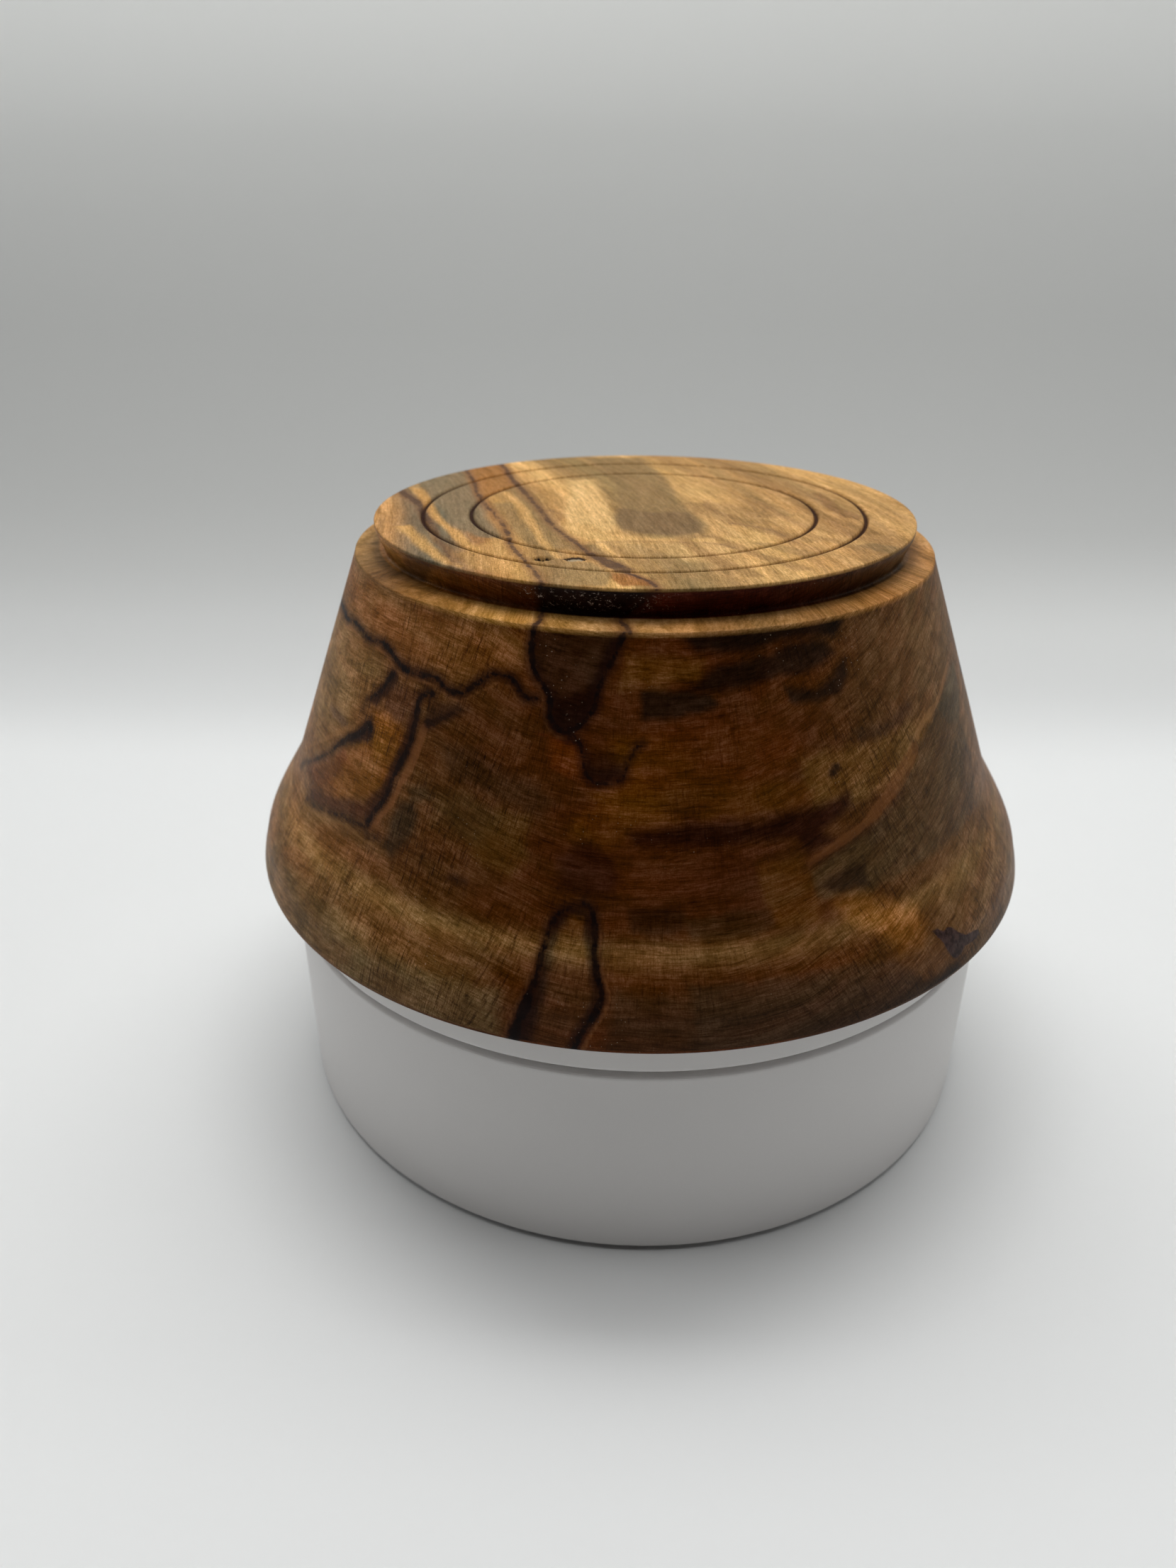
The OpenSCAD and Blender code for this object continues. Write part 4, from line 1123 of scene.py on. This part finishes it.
# ---------------------------------------------------------------- turning plate
def turning_plate():
    """Round plate with a skirt, an inner lip stepping down from it and a bored hub, in mm."""
    plate_lo, plate_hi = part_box("platter")
    edge = plate_hi[0] / MM
    top = plate_hi[2] / MM
    hub_low = plate_lo[2] / MM
    hub_r, bore_r = 8.0, 3.0
    skirt = top - 4.4
    web = top - 2.6
    lip = edge - 2.6 - 1.0
    lip_low = skirt - 2.1
    lip_in = lip - 1.4
    path = [(1.0, top)] + [(r, top) for r in np.linspace(6, edge - 0.8, 12)]
    path += curve((edge - 0.6, top), (edge - 0.2, top), (edge, top - 0.25), (edge, top - 0.6), 7)
    path += [(edge, top - 2.2), (edge, skirt + 0.9), (edge, skirt + 0.4)]
    path += curve((edge, skirt + 0.22), (edge, skirt + 0.08), (edge - 0.06, skirt),
                  (edge - 0.2, skirt), 6)
    path += [(edge - 1.2, skirt), (lip + 0.3, skirt), (lip, skirt - 0.02), (lip, skirt - 0.4),
             (lip, skirt - 1.8)]
    path += curve((lip, skirt - 1.9), (lip, lip_low), (lip, lip_low), (lip - 0.2, lip_low), 3)
    path += [(lip - 1.2, lip_low)]
    path += curve((lip - 1.2, lip_low), (lip_in, lip_low), (lip_in, lip_low),
                  (lip_in, skirt - 1.9), 3)
    path += [(lip_in, web - 0.3), (lip - 1.7, web), (lip - 2.2, web)]
    path += [(r, web) for r in (35.0, 25, 12, hub_r + 0.6)]
    path += curve((hub_r + 0.6, web), (hub_r, web), (hub_r, web), (hub_r, web - 0.6), 3)
    path += [(hub_r, hub_low + 0.3), (hub_r - 0.3, hub_low), (bore_r + 0.4, hub_low),
             (bore_r, hub_low + 0.3), (bore_r, top - 1.62), (1.0, top - 1.62)]
    plate, _ = lathe("turning_plate", path, 256)
    plate.data.materials.append(WHITE)
    return plate


platter = turning_plate()
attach(platter, "turning_plate")
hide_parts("platter")

# the rest of the stand keeps its CAD shapes
for node, material in (
        ("drum_shell", WHITE), ("base_cover", WHITE), ("upper_race", STEEL),
        ("lower_race", STEEL), ("spindle", STEEL), ("retaining_washer", ZINC),
        ("retaining_screw", ZINC), ("cover_screws", ZINC), ("ball_cage", NYLON),
        ("bearing_balls", CHROME), ("pivot_bush", BRONZE), ("rubber_feet", RUBBER)):
    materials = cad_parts[node].data.materials
    materials.clear()
    materials.append(material)


# ---------------------------------------------------------------- paper sweep, metres
def painted_paper_shading(paper, text):
    """Painted light and shade along the paper's length: rows of (arc, tone)."""
    stops = rows(text)
    arc_start, arc_end = -0.12, 0.46
    ramp = paper.add("ValToRGB")
    ramp.color_ramp.interpolation = "B_SPLINE"
    elements = ramp.color_ramp.elements
    while len(elements) < len(stops):
        elements.new(0.5)
    for element, (arc, tone) in zip(elements, stops):
        element.position = (arc - arc_start) / (arc_end - arc_start)
        warm = 1.0 - 0.02 * smooth(0.12, 0.25, arc)
        element.color = (tone * 0.982, tone, tone * 1.004 * warm, 1)
    along = paper.attribute("arc").remap(start=arc_start, end=arc_end, kind="LINEAR")
    paper.fill(ramp, {0: along})
    return Value(paper, ramp.outputs[0])


def paper_material():
    paper = Shader("paper")
    left = painted_paper_shading(paper, """-0.11,0.87 -0.085,0.84 -0.07,0.80 0.09,0.80 0.125,0.64
        0.175,0.56 0.20,0.50 0.235,0.44 0.30,0.455 0.34,0.57 0.372,0.77 0.41,0.90""")
    right = painted_paper_shading(paper, """-0.11,0.90 -0.085,0.87 -0.07,0.83 0.10,0.83 0.135,0.66
        0.16,0.66 0.185,0.67 0.222,0.46 0.30,0.46 0.34,0.57 0.372,0.76 0.41,0.85""")
    colour = paper.mix(paper.object.split()[0].remap(start=-0.12, end=0.24), left, right)
    colour = paper.mix(paper.mm.noise(scale=0.8) * 0.03, colour, rgba((0.6, 0.6, 0.6)))
    return paper.finish({"Base Color": colour, "Roughness": 0.75, "Specular IOR Level": 0.2})


def sweep():
    """White paper that lies flat, then curls up behind."""
    curl_y, curl_r, half_width, across_count = 0.125, 0.16, 1.3, 5
    profile = [(-0.45, 0.0), (0.0, 0.0), (curl_y, 0.0)]
    for turn in np.radians(np.linspace(0, 86, 30)[1:]):
        profile.append((curl_y + curl_r * math.sin(turn), curl_r - curl_r * math.cos(turn)))
    last_y, last_z = profile[-1]
    profile.append((last_y + 0.07, last_z + 1.0))
    columns = np.linspace(-half_width, half_width, across_count)
    verts = [(x, y, z) for (y, z) in profile for x in columns]
    faces = []
    for i in range(len(profile) - 1):
        for j in range(across_count - 1):
            near, far = i * across_count + j, (i + 1) * across_count + j
            faces.append([near, near + 1, far + 1, far])
    paper = new_object("sweep", verts, faces)
    # length along the paper, 0 under the mug
    arc = [0.0]
    for before, after in zip(profile[:-1], profile[1:]):
        arc.append(arc[-1] + math.dist(before, after))
    put(paper.data, "arc", "FLOAT", np.repeat(np.array(arc) + profile[0][0], across_count))
    paper.data.materials.append(paper_material())


sweep()


# ---------------------------------------------------------------- lights, world, camera
def area(name, location, target, size, size_y, power, color):
    light = bpy.data.lights.new(name, "AREA")
    light.shape = "RECTANGLE"
    light.size = size
    light.size_y = size_y
    light.energy = power
    light.color = color
    obj = bpy.data.objects.new(name, light)
    bpy.context.scene.collection.objects.link(obj)
    obj.location = location
    aim = Vector(target) - Vector(location)
    obj.rotation_euler = aim.to_track_quat("-Z", "Y").to_euler()


area("key_back", (0.0, 0.17, 0.62), target=(0, 0.0, 0.04), size=0.72, size_y=0.20,
     power=2.0, color=(1.0, 0.995, 0.985))
area("top", (0.0, -0.02, 0.72), target=(0, 0.0, 0.0), size=0.80, size_y=0.42,
     power=2.35, color=(1.0, 0.995, 0.985))
area("fill_left", (-0.60, 0.02, 0.30), target=(0, 0, 0.04), size=0.30, size_y=0.30,
     power=0.42, color=(0.96, 0.98, 1.0))
area("fill_right", (0.60, 0.02, 0.30), target=(0, 0, 0.04), size=0.30, size_y=0.30,
     power=0.36, color=(0.97, 0.985, 1.0))


def studio_world():
    """Faint warm light; beyond the paper the camera alone sees a pale room."""
    world = bpy.data.worlds.new("studio")
    world.use_nodes = True
    nodes, links = world.node_tree.nodes, world.node_tree.links
    ambient = nodes["Background"]
    ambient.inputs["Color"].default_value = (1.0, 0.9, 0.82, 1)
    ambient.inputs["Strength"].default_value = 0.03
    room = nodes.new("ShaderNodeBackground")
    room.inputs["Color"].default_value = (0.60, 0.61, 0.615, 1)
    room.inputs["Strength"].default_value = 1.0
    ray_kind = nodes.new("ShaderNodeLightPath")
    pick = nodes.new("ShaderNodeMixShader")
    links.new(ray_kind.outputs["Is Camera Ray"], pick.inputs[0])
    links.new(ambient.outputs[0], pick.inputs[1])
    links.new(room.outputs[0], pick.inputs[2])
    links.new(pick.outputs[0], nodes["World Output"].inputs[0])
    bpy.context.scene.world = world


def camera():
    yaw, pitch = math.radians(-2.87), math.radians(27.7)
    data = bpy.data.cameras.new("camera")
    data.sensor_fit = "AUTO"
    data.sensor_width = 36.0
    data.lens = 24.998192
    data.clip_start = 0.005
    data.dof.use_dof = True
    data.dof.focus_distance = 0.128
    data.dof.aperture_fstop = 22.0
    obj = bpy.data.objects.new("camera", data)
    bpy.context.scene.collection.objects.link(obj)
    obj.location = Vector((0.0, -154.92, 123.72)) * MM
    forward = Vector((math.sin(yaw) * math.cos(pitch), math.cos(yaw) * math.cos(pitch),
                      -math.sin(pitch)))
    obj.rotation_mode = "QUATERNION"
    obj.rotation_quaternion = forward.to_track_quat("-Z", "Y")
    bpy.context.scene.camera = obj


studio_world()
camera()
view = bpy.context.scene.view_settings
view.view_transform = "Standard"
view.look = "None"
view.exposure = 0.0
view.gamma = 1.0
